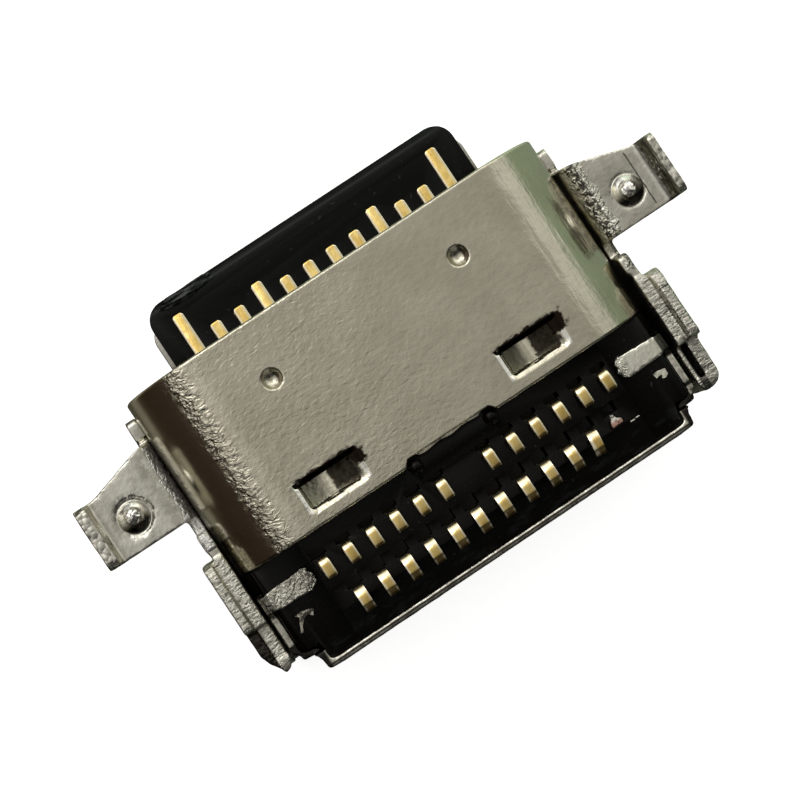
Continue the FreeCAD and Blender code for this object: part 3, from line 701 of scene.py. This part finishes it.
def steps(start, end, zones):  # places along a line, closer together inside the zones
    coarse, fine = shellShape["coarse"], shellShape["fine"]
    places = [start]
    while places[-1] < end - 1e-9:
        here = places[-1]
        near = any(low - fine <= here <= high for low, high in zones)
        places.append(here + (fine if near else coarse))
    return [start + (value - start) * (end - start) / (places[-1] - start) for value in places]


def tubeColumns():  # (x, z, normal x, normal z) round the stadium, seen from the front
    form = shellShape
    halfWidth = (shellHigh.x - shellLow.x) / 2
    radius = (shellHigh.z - shellLow.z) / 2
    flat = halfWidth - radius
    zones = []
    for side in (-1, 1):
        dimple = side * form["dimpleSpacing"] / 2
        pocket = side * form["pocketSpacing"] / 2 + form["pocketShift"]
        for middle, reach in ((dimple, form["dimpleZone"]),
                              (pocket, form["pocketWidth"] / 2 + form["pocketZone"])):
            zones.append((middle - reach, middle + reach))
    columns = [(x, radius, 0.0, 1.0) for x in steps(-flat, flat, zones)]
    turns = round(math.pi * radius / form["coarse"])

    def halfTurn(centre, start):
        for turn in range(1, turns):
            angle = start - math.pi * turn / turns
            across, up = math.cos(angle), math.sin(angle)
            columns.append((centre + radius * across, radius * up, across, up))

    halfTurn(flat, math.pi / 2)
    underside = 40
    for step in range(underside + 1):
        columns.append((flat - 2 * flat * step / underside, -radius, 0.0, -1.0))
    halfTurn(-flat, -math.pi / 2)
    return np.array(columns)


def tubeRows():  # (behind the rim, depth), along the outer face and back inside
    form = shellShape
    length = shellHigh.y - shellLow.y
    rim, rear, sheet = form["rimRound"], form["rearRound"], form["sheet"]
    cut, cutStep = form["pocketBehindRim"], form["cutStep"]
    dimple, dimpleZone = form["dimpleBehindRim"], form["dimpleZone"]
    zones = [(dimple - dimpleZone, dimple + dimpleZone),
             (cut, cut + form["pocketLength"] + form["pocketZone"])]
    rows = []
    for turn in range(6):
        angle = math.pi / 2 * turn / 5
        rows.append((rim - rim * math.cos(angle), rim - rim * math.sin(angle)))
    rows += [(y, 0.0) for y in steps(rim + 0.02, cut - 3 * cutStep, zones)]
    rows += [(cut - cutStep, 0.0), (cut, 0.0), (cut + cutStep, 0.0)]
    rows += [(y, 0.0) for y in steps(cut + 3.5 * cutStep, length - rear - 0.01, zones)]
    for turn in range(5):
        angle = math.pi / 2 * turn / 4
        rows.append((length - rear + rear * math.sin(angle), rear - rear * math.cos(angle)))
    rows += [(length, drop) for drop in (*form["rearRows"], sheet - 0.01)]
    innerSteps = math.ceil((length - 0.02) / 0.16)
    rows += [(y, sheet) for y in np.linspace(length - 0.01, 0.01, innerSteps + 1)]
    rows.append((0.0, sheet - 0.01))
    return np.array(rows)


def pocketPress(x, behind, middle):  # a trough with a rounded rim, cut open at its front
    form = shellShape
    corner = form["pocketCorner"]
    overSide = np.abs(x - middle) - (form["pocketWidth"] / 2 - corner)
    overRear = behind - (form["pocketBehindRim"] + form["pocketLength"] - corner)
    outside = np.hypot(np.clip(overSide, 0, None), np.clip(overRear, 0, None))
    inside = corner - outside - np.clip(np.maximum(overSide, overRear), None, 0)
    rim = form["pocketRimDrop"] * np.clip(inside / form["pocketRim"], 0, 1)
    reach = form["pocketWidth"] / 2 - form["pocketRim"]
    fromLow = np.hypot(x - middle - form["troughOff"], form["troughRound"])
    trough = np.clip(form["pocketSlope"] * (reach - fromLow), 0, None)
    fromCut = behind - form["pocketBehindRim"]
    trough = trough * (1 - form["troughRise"] * fromCut / form["pocketLength"])
    trough = trough * smoothstep(inside, form["pocketRim"], form["pocketRim"] + 0.03)
    drop = form["cutDrop"] * (1 - smoothstep(fromCut, 0.02, 0.10)) * smoothstep(inside, 0, 0.12)
    return np.where(fromCut > 1e-6, rim + trough + drop, 0)


def pressedDepth(x, behind, top):  # how far the dimples and pockets push the sheet in
    form = shellShape
    depth = np.zeros_like(x)
    for side in (-1, 1):
        away = np.hypot(x - side * form["dimpleSpacing"] / 2, behind - form["dimpleBehindRim"])
        bowl = form["dimpleDepth"] * (1 - (away / form["dimpleRadius"]) ** 2)
        depth = np.maximum(depth, np.clip(bowl, 0, None))
        middle = side * form["pocketSpacing"] / 2 + form["pocketShift"]
        depth = np.maximum(depth, pocketPress(x, behind, middle))
    return depth * top


def notchPull(x, behind, inset, inner):  # how far forward the rear edge is cut, less its sheared lip
    form = shellShape
    length = shellHigh.y - shellLow.y
    offNotch = np.abs(x - form["notchMiddle"])
    halfWidth = form["notchWidth"] / 2
    notch = smoothstep(-offNotch, -halfWidth - form["notchDepth"], -halfWidth)
    pulled = smoothstep(behind, length - 0.2, length) * notch * form["notchDepth"]
    outer, full = form["lipHalf"]
    lip = smoothstep(-offNotch, -outer, -full) * (0.7 + 0.3 * np.sin(x * 9.0 + np.sin(x * 4.0)))
    onLip = (inset > form["lipUnder"]) & (behind > length - 0.01) & ~inner
    return pulled - lip * onLip * form["notchLip"]


def shellSkin(points, normals):  # the rolled sheet's grain, and the wrinkles on its left bend
    form = shellShape
    side, up = points[:, 0], points[:, 2]
    grain = sum(lattice(points, cell, seed) * depth for cell, depth, seed in form["grain"])
    grain = grain * (1 - 0.75 * smoothstep(np.abs(side), *form["calmSides"]))
    wrinkle = np.abs(lattice(points * [1.0, 1.4, 1.0], form["wrinkleCell"], 5)) * form["wrinkleHeight"]
    bend = smoothstep(-side, *form["wrinkleStart"]) * (1 - smoothstep(-side, *form["wrinkleEnd"]))
    bend = bend * smoothstep(up, middleHeight + 0.9, middleHeight + 1.2)
    return points - normals * (form["skin"] + grain + wrinkle * bend)[:, None]


def makeShell():
    form = shellShape
    columns = tubeColumns()
    rows = tubeRows()
    cut, sheet = form["pocketBehindRim"], form["sheet"]
    x, z, normalX, normalZ = [np.tile(columns[:, item], (len(rows), 1)) for item in range(4)]
    behind, inset = [np.tile(rows[:, item:item + 1], (1, len(columns))) for item in range(2)]
    top = (normalZ > 0.999).astype(float)
    inner = inset > sheet - 0.005
    onCut = np.isclose(behind, cut) & ~inner
    fullAtCut = pressedDepth(x, np.full_like(x, cut + form["cutStep"]), top)
    depth = np.where(onCut, np.minimum(fullAtCut, sheet), pressedDepth(x, behind, top))
    lowered = inset + depth * np.where(inner, form["innerShare"], 1.0)
    points = np.stack([
        x - normalX * lowered,
        mouthY - behind + notchPull(x, behind, inset, inner) * top,
        middleHeight + z - normalZ * lowered,
    ], axis=-1).reshape(-1, 3)
    throughCut = onCut & (fullAtCut > sheet + 0.02)  # these faces take the slit's painted shade and black moulding
    rowCount, columnCount = x.shape
    faces = []
    for row in range(rowCount):
        here, after = row * columnCount, (row + 1) % rowCount * columnCount
        for column in range(columnCount):
            beside = (column + 1) % columnCount
            faces.append((here + column, after + column, after + beside, here + beside))
    mesh = bpy.data.meshes.new("shell")
    mesh.from_pydata(points.tolist(), [], faces)
    mesh.materials.append(finishes["shell_steel"])
    mesh.materials.append(finishes["slit"])
    mesh.polygons.foreach_set("material_index", throughCut.ravel().astype(int))
    mesh.update()
    setPoints(mesh, shellSkin(points, threes(mesh.vertex_normals, "vector")))
    print("shell faces:", len(faces))
    placed(linked("shell_skin", mesh), "shell_steel", "mating_shell", sharp=50)


# Bracket, rear shield and moulding: skins over the imported solids, bent, and the bracket and shield
# roughened

bracketBend = {
    "before": (4.43, 4.67, 4.71, 4.95),  # faces of wall and leaf, out from the middle, as drawn
    "leftFront": (4.42, 4.65, 4.69, 4.95),
    "leftLeg": (4.43, 4.64, 4.70, 4.90),
    "rightFront": (4.42, 4.62, 4.66, 4.95),
    "rightEar": (4.47, 4.70, 4.74, 4.98),
    "rightLeg": (4.53, 4.71, 4.765, 5.01),
    "rightRear": (4.48, 4.60, 4.70, 4.96),
    "slicesAlong": [-3.1, -2.95, -2.75, -2.34, -2.26, -0.74, -0.62, 1.58, 1.66],
    "slicesDown": [0.5, 0.3, 0.1],  # below the tongue's middle
    "voxel": 0.026,
    "rough": [(0.35, 0.008, 11), (0.12, 0.006, 12)],
    "frontY": 1.62,
    "legY": -0.68,
    "leaf": (4.69, 4.73),  # the outer leaf's inner face
    "leafIn": 0.12,
    "taperAlong": (2.75, 3.16),  # behind the origin, where the left leaf runs in to a point
    "taperTo": 4.66,
    "taperShare": 0.85,
    "droopFrom": 4.9,
    "droop": 0.07,
    "legStretch": 0.07,
    "lipFace": (5.95, 6.2),
    "lipThinned": 0.07,
    "domeHeight": 0.15,
    "domeRadius": 0.29,
    "domeEdge": 0.36,
    "domeFlat": (0.42, 0.52),  # the ear's flat face is measured this far from the bump's middle
    "ring": (0.345, 0.315),
    "ringDepth": 0.018,
}


def bentBracket(points):  # the folds stand a little open, the left ear droops and the legs taper
    form = bracketBend
    side = np.sign(points[:, 0])
    out = np.abs(points[:, 0])
    y, z = points[:, 1], points[:, 2]
    front = smoothstep(y, form["frontY"] - 0.03, form["frontY"] + 0.03)
    leg = smoothstep(-y, -form["legY"] - 0.05, -form["legY"] + 0.05)
    rear = smoothstep(-y, -bracketFinish["rearY"] - 0.03, -bracketFinish["rearY"] + 0.03)

    def moved(name):
        return np.interp(out, [0, 4.1, *form["before"], 5.4, 7], [0, 4.1, *form[name], 5.4, 7])

    left = moved("before") * (1 - front - leg) + moved("leftFront") * front + moved("leftLeg") * leg
    rightLeg = moved("rightLeg") * (1 - rear) + moved("rightRear") * rear
    right = moved("rightEar") * (1 - front - leg) + moved("rightFront") * front + rightLeg * leg
    bent = np.where(side < 0, left, right)
    shut = 1 - smoothstep(z, middleHeight - 0.5, middleHeight - 0.1)
    leafFrom, leafTo = form["leaf"]
    bent = bent - ((out > leafFrom) & (out < leafTo)) * leg * shut * form["leafIn"]
    taper = smoothstep(-y, *form["taperAlong"]) * (side < 0) * (out > leafTo) * (out < 5.0)
    bent = bent - (bent - form["taperTo"]) * form["taperShare"] * taper
    lipFrom, lipTo = form["lipFace"]
    lipHigh = smoothstep(z, middleHeight + 0.42, middleHeight + 0.6)
    bent = bent + form["lipThinned"] * (side > 0) * (out > lipFrom) * (out < lipTo) * lipHigh
    z = z - form["droop"] * np.clip(bent - form["droopFrom"], 0, None) * (side < 0)
    y = y - form["legStretch"] * smoothstep(-y, 2.6, 3.2)
    return np.stack([side * bent, y, z], axis=-1)


def domed(points):  # each ear's bump is a round dome inside a shallow ring
    form = bracketBend
    bumpOut, bumpAlong = bracketFinish["bump"]
    away = np.hypot(np.abs(points[:, 0]) - bumpOut, points[:, 1] - bumpAlong)
    near, far = form["domeFlat"]
    outer, inner = form["ring"]
    for side in (-1, 1):
        here = (np.sign(points[:, 0]) == side) & (points[:, 2] > middleHeight + 0.25)
        flat = np.median(points[here & (away > near) & (away < far), 2])
        dome = flat + form["domeHeight"] * (1 - (away / form["domeRadius"]) ** 2)
        ring = flat - form["ringDepth"] * smoothstep(-away, -outer, -inner)
        onBump = here & (away < form["domeEdge"])
        points[:, 2] = np.where(onBump, np.maximum(dome, ring), points[:, 2])
    return points


def makeBracket():
    form = bracketBend
    piece = cadCopy("bracket_skin", "mounting_bracket")
    sliced(piece, 1, form["slicesAlong"])
    sliced(piece, 2, [middleHeight - down for down in form["slicesDown"]])
    reshaped(piece.data, bentBracket)
    remeshed(piece, form["voxel"], 2, 0.008)
    reshaped(piece.data, domed)
    roughen(piece, form["rough"])
    print("bracket faces:", len(piece.data.polygons))
    placed(piece, "bracket_steel", "mounting_bracket", sharp=60)


shieldBend = {
    "corners": [(4.13, -2.995, 0.8), (3.70, -3.235, 0.8)],  # out, along, and how much squarer each bend is
    "rearIn": 0.09,  # the narrower rear end is pulled in at each side
    "voxel": 0.026,
    "rough": [(0.3, 0.006, 21), (0.1, 0.006, 22)],
    "tabMiddle": -2.02,
    "tabHalf": 0.24,
    "tabWider": 1.06,
    "neck": 0.78,
    "neckOut": (4.08, 4.18),
    "tabTilt": 0.07,
    "tornFrom": (3.36, 3.52),  # each tab's torn end, out from the middle
    "tornCell": 0.075,
    "tornDepth": 0.045,
    "tornBow": 1.2,
}


def squared(points):  # the body's and shield's rear corners are nearly square
    side = np.sign(points[:, 0])
    out = np.abs(points[:, 0])
    y = points[:, 1]
    for outAt, yAt, share in shieldBend["corners"]:
        dx, dy = out - outAt, yAt - y
        longer = np.maximum(np.maximum(np.abs(dx), np.abs(dy)), 1e-6)
        grow = np.where((dx > 0) & (dy > 0), 1 + share * (np.hypot(dx, dy) / longer - 1), 1)
        out, y = outAt + dx * grow, yAt - dy * grow
    out = out - shieldBend["rearIn"] * smoothstep(out, 3.2, 3.7) * smoothstep(-y, 3.02, 3.14)
    return np.stack([side * out, y, points[:, 2]], axis=-1)


def bentShield(points):  # the tabs have narrower necks and tip down at their ends
    form = shieldBend
    points = squared(points)
    out = np.abs(points[:, 0])
    fromMiddle = points[:, 1] - form["tabMiddle"]
    onTab = (np.abs(fromMiddle) < form["tabHalf"]) * smoothstep(points[:, 2], 2.36, 2.48)
    scale = np.interp(out, form["neckOut"], [form["tabWider"], form["neck"]])
    points[:, 1] += fromMiddle * (scale - 1) * onTab
    points[:, 2] -= form["tabTilt"] * np.clip(4.2 - out, 0, None) * onTab * (0.6 + (points[:, 0] > 0))
    return points


def tornTabs(points):  # the tabs' ends are bowed and ragged
    form = shieldBend
    out = np.abs(points[:, 0])
    end = 1 - smoothstep(out, *form["tornFrom"])
    end = end * (points[:, 2] > 2.45) * (points[:, 1] > -2.4)
    bow = (points[:, 1] - form["tabMiddle"]) ** 2 * form["tornBow"]
    torn = lattice(points, form["tornCell"], 23) * form["tornDepth"] + bow
    points[:, 0] += np.sign(points[:, 0]) * end * np.clip(torn, -0.05, 0.1)
    return points


def makeShield():
    form = shieldBend
    piece = cadCopy("shield_skin", "rear_shield")
    reshaped(piece.data, bentShield)
    remeshed(piece, form["voxel"], 1, 0.004)
    reshaped(piece.data, tornTabs)
    roughen(piece, form["rough"])
    print("shield faces:", len(piece.data.polygons))
    placed(piece, "shield_steel", "rear_shield", sharp=60)


def makeMoulding():
    piece = cadCopy("moulding_skin", "insulator_body")
    reshaped(piece.data, squared)
    bevelled(piece, 0.018, 2, 50)
    placed(piece, "black_moulding", "insulator_body", sharp=35)


contactShape = {
    "slices": [-3.06, -3.03, -3.0, -2.97, -2.94, -2.91],  # along, where the rear feet bend
    "footBehind": -1.78,
    "footAbove": 1.0,  # over the tongue's middle
    "upperWider": 0.10,
    "dipFrom": -2.71,  # from here a rear foot runs level for a while before it dips
    "dipLong": 0.37,
    "dipRise": 0.075,
    "dipLate": 0.66,
    "edge": 0.04,
    "broken": "lower_contact_12",
    "stubBehind": -2.3,
    "stubUp": (2.5, 2.62),
    "stubTip": (-2.78, -2.60),
    "stubThinned": 0.7,
    "stubRise": 0.12,
    "stubRough": 0.02,
}


def onFoot(points):
    high = points[:, 2] > middleHeight + contactShape["footAbove"]
    return (points[:, 1] < contactShape["footBehind"]) & high


def widened(points):  # the upper contacts' feet are a little wider
    foot = onFoot(points)
    middle = (points[foot, 0].min() + points[foot, 0].max()) / 2
    points[:, 0] += (points[:, 0] - middle) * contactShape["upperWider"] * foot
    return points


def levelled(points):  # the rear feet run level before they dip
    form = contactShape
    share = np.clip((form["dipFrom"] - points[:, 1]) / form["dipLong"], 0, 1) * onFoot(points)
    points[:, 2] += form["dipRise"] * (share - smoothstep(share, form["dipLate"], 1.0))
    return points


def brokenOff(points):  # the torn stub narrows to its tip and stands up a little
    form = contactShape
    stub = smoothstep(points[:, 2], *form["stubUp"]) * (points[:, 1] < form["stubBehind"])
    tip = smoothstep(points[:, 1], *form["stubTip"]) * stub
    middle = points[stub > 0.5][:, 0].mean()
    points[:, 0] += (middle - points[:, 0]) * form["stubThinned"] * tip
    points[:, 2] += form["stubRise"] * stub
    return points + lattice(points, 0.06, 31)[:, None] * form["stubRough"] * stub[:, None]


def makeContacts():
    form = contactShape
    names = [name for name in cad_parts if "contact_" in name and not name.endswith("carrier")]
    for name in sorted(names):
        piece = sliced(cadCopy(name + "_skin", name), 1, form["slices"])
        reshaped(piece.data, widened if name.startswith("upper") else levelled)
        bevelled(piece, form["edge"], 3, 40)
        if name == form["broken"]:
            reshaped(piece.data, brokenOff)
            piece.data.materials.clear()
            piece.data.materials.append(finishes["torn"])
        placed(piece, "contact_gold", name, sharp=50)
    print("contacts made:", len(names))


def makePlates():
    for name in ("mid_plate", "upper_ground_pad", "lower_ground_pad"):
        piece = bevelled(cadCopy(name + "_skin", name), 0.02, 2, 40)
        placed(piece, "plate_steel", name, sharp=50)
    for name in ("upper_contact_carrier", "lower_contact_carrier"):
        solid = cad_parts[name]
        solid.data.materials.clear()
        solid.data.materials.append(finishes["carrier_moulding"])


# Small things that were left on the part: a gate scar, metal scraps and a few crumbs

scraps = {  # each row is across, along, height over the tongue's middle, and half sizes
    "gate_scar": [
        (-2.44, 3.50, 0.35, 0.55, 0.10, 0.06),
        (-2.12, 3.57, 0.35, 0.24, 0.06, 0.07),
    ],
    "crumbs": [
        (3.02, -2.90, 1.06, 0.05, 0.018, 0.01),
        (3.13, -2.89, 1.06, 0.04, 0.016, 0.01),
    ],
}

flakes = {  # outlines of thin metal scraps lying on the side decks, across and along
    "left_flake": [
        (-3.97, -2.46), (-3.83, -2.45), (-3.73, -2.475), (-3.61, -2.52), (-3.68, -2.62), (-3.75, -2.545),
        (-3.85, -2.575), (-3.95, -2.68), (-3.99, -2.79), (-4.04, -2.77), (-3.97, -2.62), (-3.91, -2.51),
    ],
    "right_flake": [
        (3.82, -2.43), (3.94, -2.415), (4.07, -2.45), (4.065, -2.56), (4.0, -2.60), (3.93, -2.575),
        (3.965, -2.52), (3.90, -2.51), (3.845, -2.52),
    ],
}
flakeHeight = 0.80
flakeThick = 0.03


def crumpled(points):
    points[:, 2] += lattice(points, 0.09, 43) * 0.018
    points[:, 1] += lattice(points, 0.05, 44) * 0.008
    return points


def makeFlakes():
    for name, outline in flakes.items():
        work = bmesh.new()
        corners = [work.verts.new((x, y, middleHeight + flakeHeight)) for x, y in outline]
        face = work.faces.new(corners)
        grown = bmesh.ops.extrude_face_region(work, geom=[face])
        raised = [item for item in grown["geom"] if isinstance(item, bmesh.types.BMVert)]
        bmesh.ops.translate(work, verts=raised, vec=(0, 0, flakeThick))
        bmesh.ops.recalc_face_normals(work, faces=work.faces)
        bmesh.ops.triangulate(work, faces=work.faces)
        bmesh.ops.subdivide_edges(work, edges=work.edges, cuts=3, use_grid_fill=True)
        mesh = meshOf(name, work)
        reshaped(mesh, crumpled)
        placed(linked(name, mesh), "shield_steel", sharp=50)


def addLump(work, name, row):  # an uneven lump, kept behind the tongue's tip
    x, y, height, wide, long, tall = row
    lump = bmesh.new()
    bmesh.ops.create_icosphere(lump, subdivisions=4, radius=1.0)
    points = np.array([vert.co for vert in lump.verts])
    bumps = 1 + lattice(points + x, 0.45, 41) * 0.35 + lattice(points + x, 0.2, 42) * 0.12
    points = points * bumps[:, None] * [wide, long, tall] + [x, y, middleHeight + height]
    points[:, 1] = np.minimum(points[:, 1], tipY - 0.004)
    for vert, spot in zip(lump.verts, points):
        vert.co = spot
    work.from_mesh(meshOf(name, lump))


def makeScraps():
    for name, rows in scraps.items():
        work = bmesh.new()
        for row in rows:
            addLump(work, name, row)
        mesh = meshOf(name, work)
        slot = "shield_steel"
        if name == "gate_scar":
            slot = "black_moulding"
            mesh.materials.append(finishes["scar"])
        placed(linked(name, mesh), slot, sharp=180)


# Camera, lights and floor

view = {
    "lens": 105.26,
    "sensor": 36,
    "distance": 42.9,
    "lean": 4.11,  # degrees towards -X
    "turn": 33.6,  # degrees that +X is turned from the picture's right
    "aim": (0.0, -0.275, 1.78),
    "offset": (9.0, 6.0),  # pixels right of and above the middle, where the aimed point shows
    "pixels": 800,
}


def makeCamera():
    camera = linked("camera", bpy.data.cameras.new("camera"))
    lean, turn = math.radians(view["lean"]), math.radians(view["turn"])
    back = Vector((-math.sin(lean), 0, math.cos(lean)))
    across = Vector((math.cos(lean), 0, math.sin(lean)))
    along = Vector((0, 1, 0))
    right = across * math.cos(turn) - along * math.sin(turn)
    upward = across * math.sin(turn) + along * math.cos(turn)
    camera.matrix_world = Matrix((right, upward, back)).transposed().to_4x4()
    camera.location = (Vector(view["aim"]) + back * view["distance"]) * mm
    camera.data.lens = view["lens"]
    camera.data.sensor_width = view["sensor"]
    camera.data.shift_x = -view["offset"][0] / view["pixels"]
    camera.data.shift_y = -view["offset"][1] / view["pixels"]
    camera.data.clip_start = 1 * mm
    camera.data.clip_end = 10
    bpy.context.scene.camera = camera


room = {
    "sides": [  # degrees from straight up towards +X, and the light that comes from there
        (-180, (0.07, 0.068, 0.05)), (-142, (0.07, 0.068, 0.05)), (-134, (0.18, 0.17, 0.14)),
        (-122, (0.19, 0.18, 0.145)), (-113, (0.05, 0.038, 0.026)), (-100, (0.030, 0.020, 0.014)),
        (-56, (0.036, 0.025, 0.018)), (-47, (0.42, 0.41, 0.38)), (-30, (0.58, 0.57, 0.55)),
        (-12, (0.58, 0.57, 0.55)), (-3, (0.45, 0.44, 0.41)), (8, (0.41, 0.40, 0.37)),
        (38, (0.40, 0.39, 0.36)), (49, (0.68, 0.68, 0.64)), (66, (0.68, 0.68, 0.64)),
        (76, (0.27, 0.33, 0.24)), (180, (0.22, 0.26, 0.20)),
    ],
    "ends": [  # degrees towards +Y, and how much of that light is left there
        (-90, 0.4), (-70, 0.38), (-58, 0.10), (-24, 0.10), (-9, 0.74), (0, 1.0), (12, 1.15), (24, 2.0),
        (66, 2.0), (78, 0.5), (90, 0.3),
    ],
    "lamps": {  # degrees from straight up towards +X and +Y, width, length and brightness
        "key_box": (-8, 34, 60, 45, 2.2),
        "front_box": (0, 50, 280, 60, 0.9),
    },
    "lampsAway": 200.0,
    "seen": (0.93, 0.93, 0.92, 1),
    "floor": (0.86, 0.86, 0.85, 1),
    "floorGlow": 0.85,
    "floorSize": 4000.0,
    "floorDrop": 0.02,
}


def makeAir():  # the light of the room, as bands from side to side and from end to end
    world = bpy.data.worlds.new("air")
    bpy.context.scene.world = world
    world.use_nodes = True
    tree = world.node_tree
    start = Flow(tree)
    way = start.node("ShaderNodeTexCoord", {}, {})
    x, y, z = [start.node("ShaderNodeSeparateXYZ", {}, {0: way}, axis) for axis in range(3)]
    side = x.math("ARCTAN2", x, z) / (2 * math.pi) + 0.5
    end = y.math("ARCSINE", y) / math.pi + 0.5
    sides = [(angle / 360 + 0.5, (*colour, 1)) for angle, colour in room["sides"]]
    ends = [(angle / 180 + 0.5, (share / 2, share / 2, share / 2, 1)) for angle, share in room["ends"]]
    glow = side.node("ShaderNodeValToRGB", {"stops": sides}, {0: side})
    share = end.node("ShaderNodeValToRGB", {"stops": ends}, {0: end})
    light = glow.node("ShaderNodeVectorMath", {"operation": "MULTIPLY"}, {0: glow, 1: share})
    light = light.node("ShaderNodeVectorMath", {"operation": "SCALE"}, {0: light, "Scale": 2.0})
    seen = start.node("ShaderNodeLightPath", {}, {})
    tree.links.new(seen.mix(light, room["seen"]).socket, tree.nodes["Background"].inputs[0])


def makeLamps():
    for name, (lean, rise, width, length, brightness) in room["lamps"].items():
        lean, rise = math.radians(lean), math.radians(rise)
        aim = Vector((math.sin(lean) * math.cos(rise), math.sin(rise), math.cos(lean) * math.cos(rise)))
        light = bpy.data.lights.new(name, "AREA")
        light.shape = "RECTANGLE"
        light.size = width * mm
        light.size_y = length * mm
        light.energy = brightness * math.pi * width * length * mm * mm
        lamp = linked(name, light)
        lamp.location = aim * room["lampsAway"] * mm
        lamp.rotation_mode = "QUATERNION"
        lamp.rotation_quaternion = aim.to_track_quat("Z", "Y")
        lamp.visible_camera = False


def floorPaint(spot, split):
    return {
        "Base Color": room["floor"],
        "Roughness": 0.9,
        "Emission Color": (1, 1, 1, 1),
        "Emission Strength": room["floorGlow"],
    }


def makeFloor():
    bpy.ops.mesh.primitive_plane_add(size=room["floorSize"] * mm, location=(0, 0, -room["floorDrop"] * mm))
    floor = bpy.context.object
    floor.name = "floor"
    floor.data.materials.append(finish(floorPaint))
    floor.visible_glossy = False
    floor.visible_shadow = False


makeCamera()
makeAir()
makeLamps()
makeFloor()
bpy.context.scene.view_settings.view_transform = "Standard"
bpy.context.scene.view_settings.look = "None"
print("camera, lights and floor made")
makeShell()
print("shell made")
makeBracket()
makeShield()
print("bracket and shield made")
makeMoulding()
makeContacts()
makePlates()
print("moulding, contacts and plates made")
makeScraps()
makeFlakes()
print("scraps and flakes made")
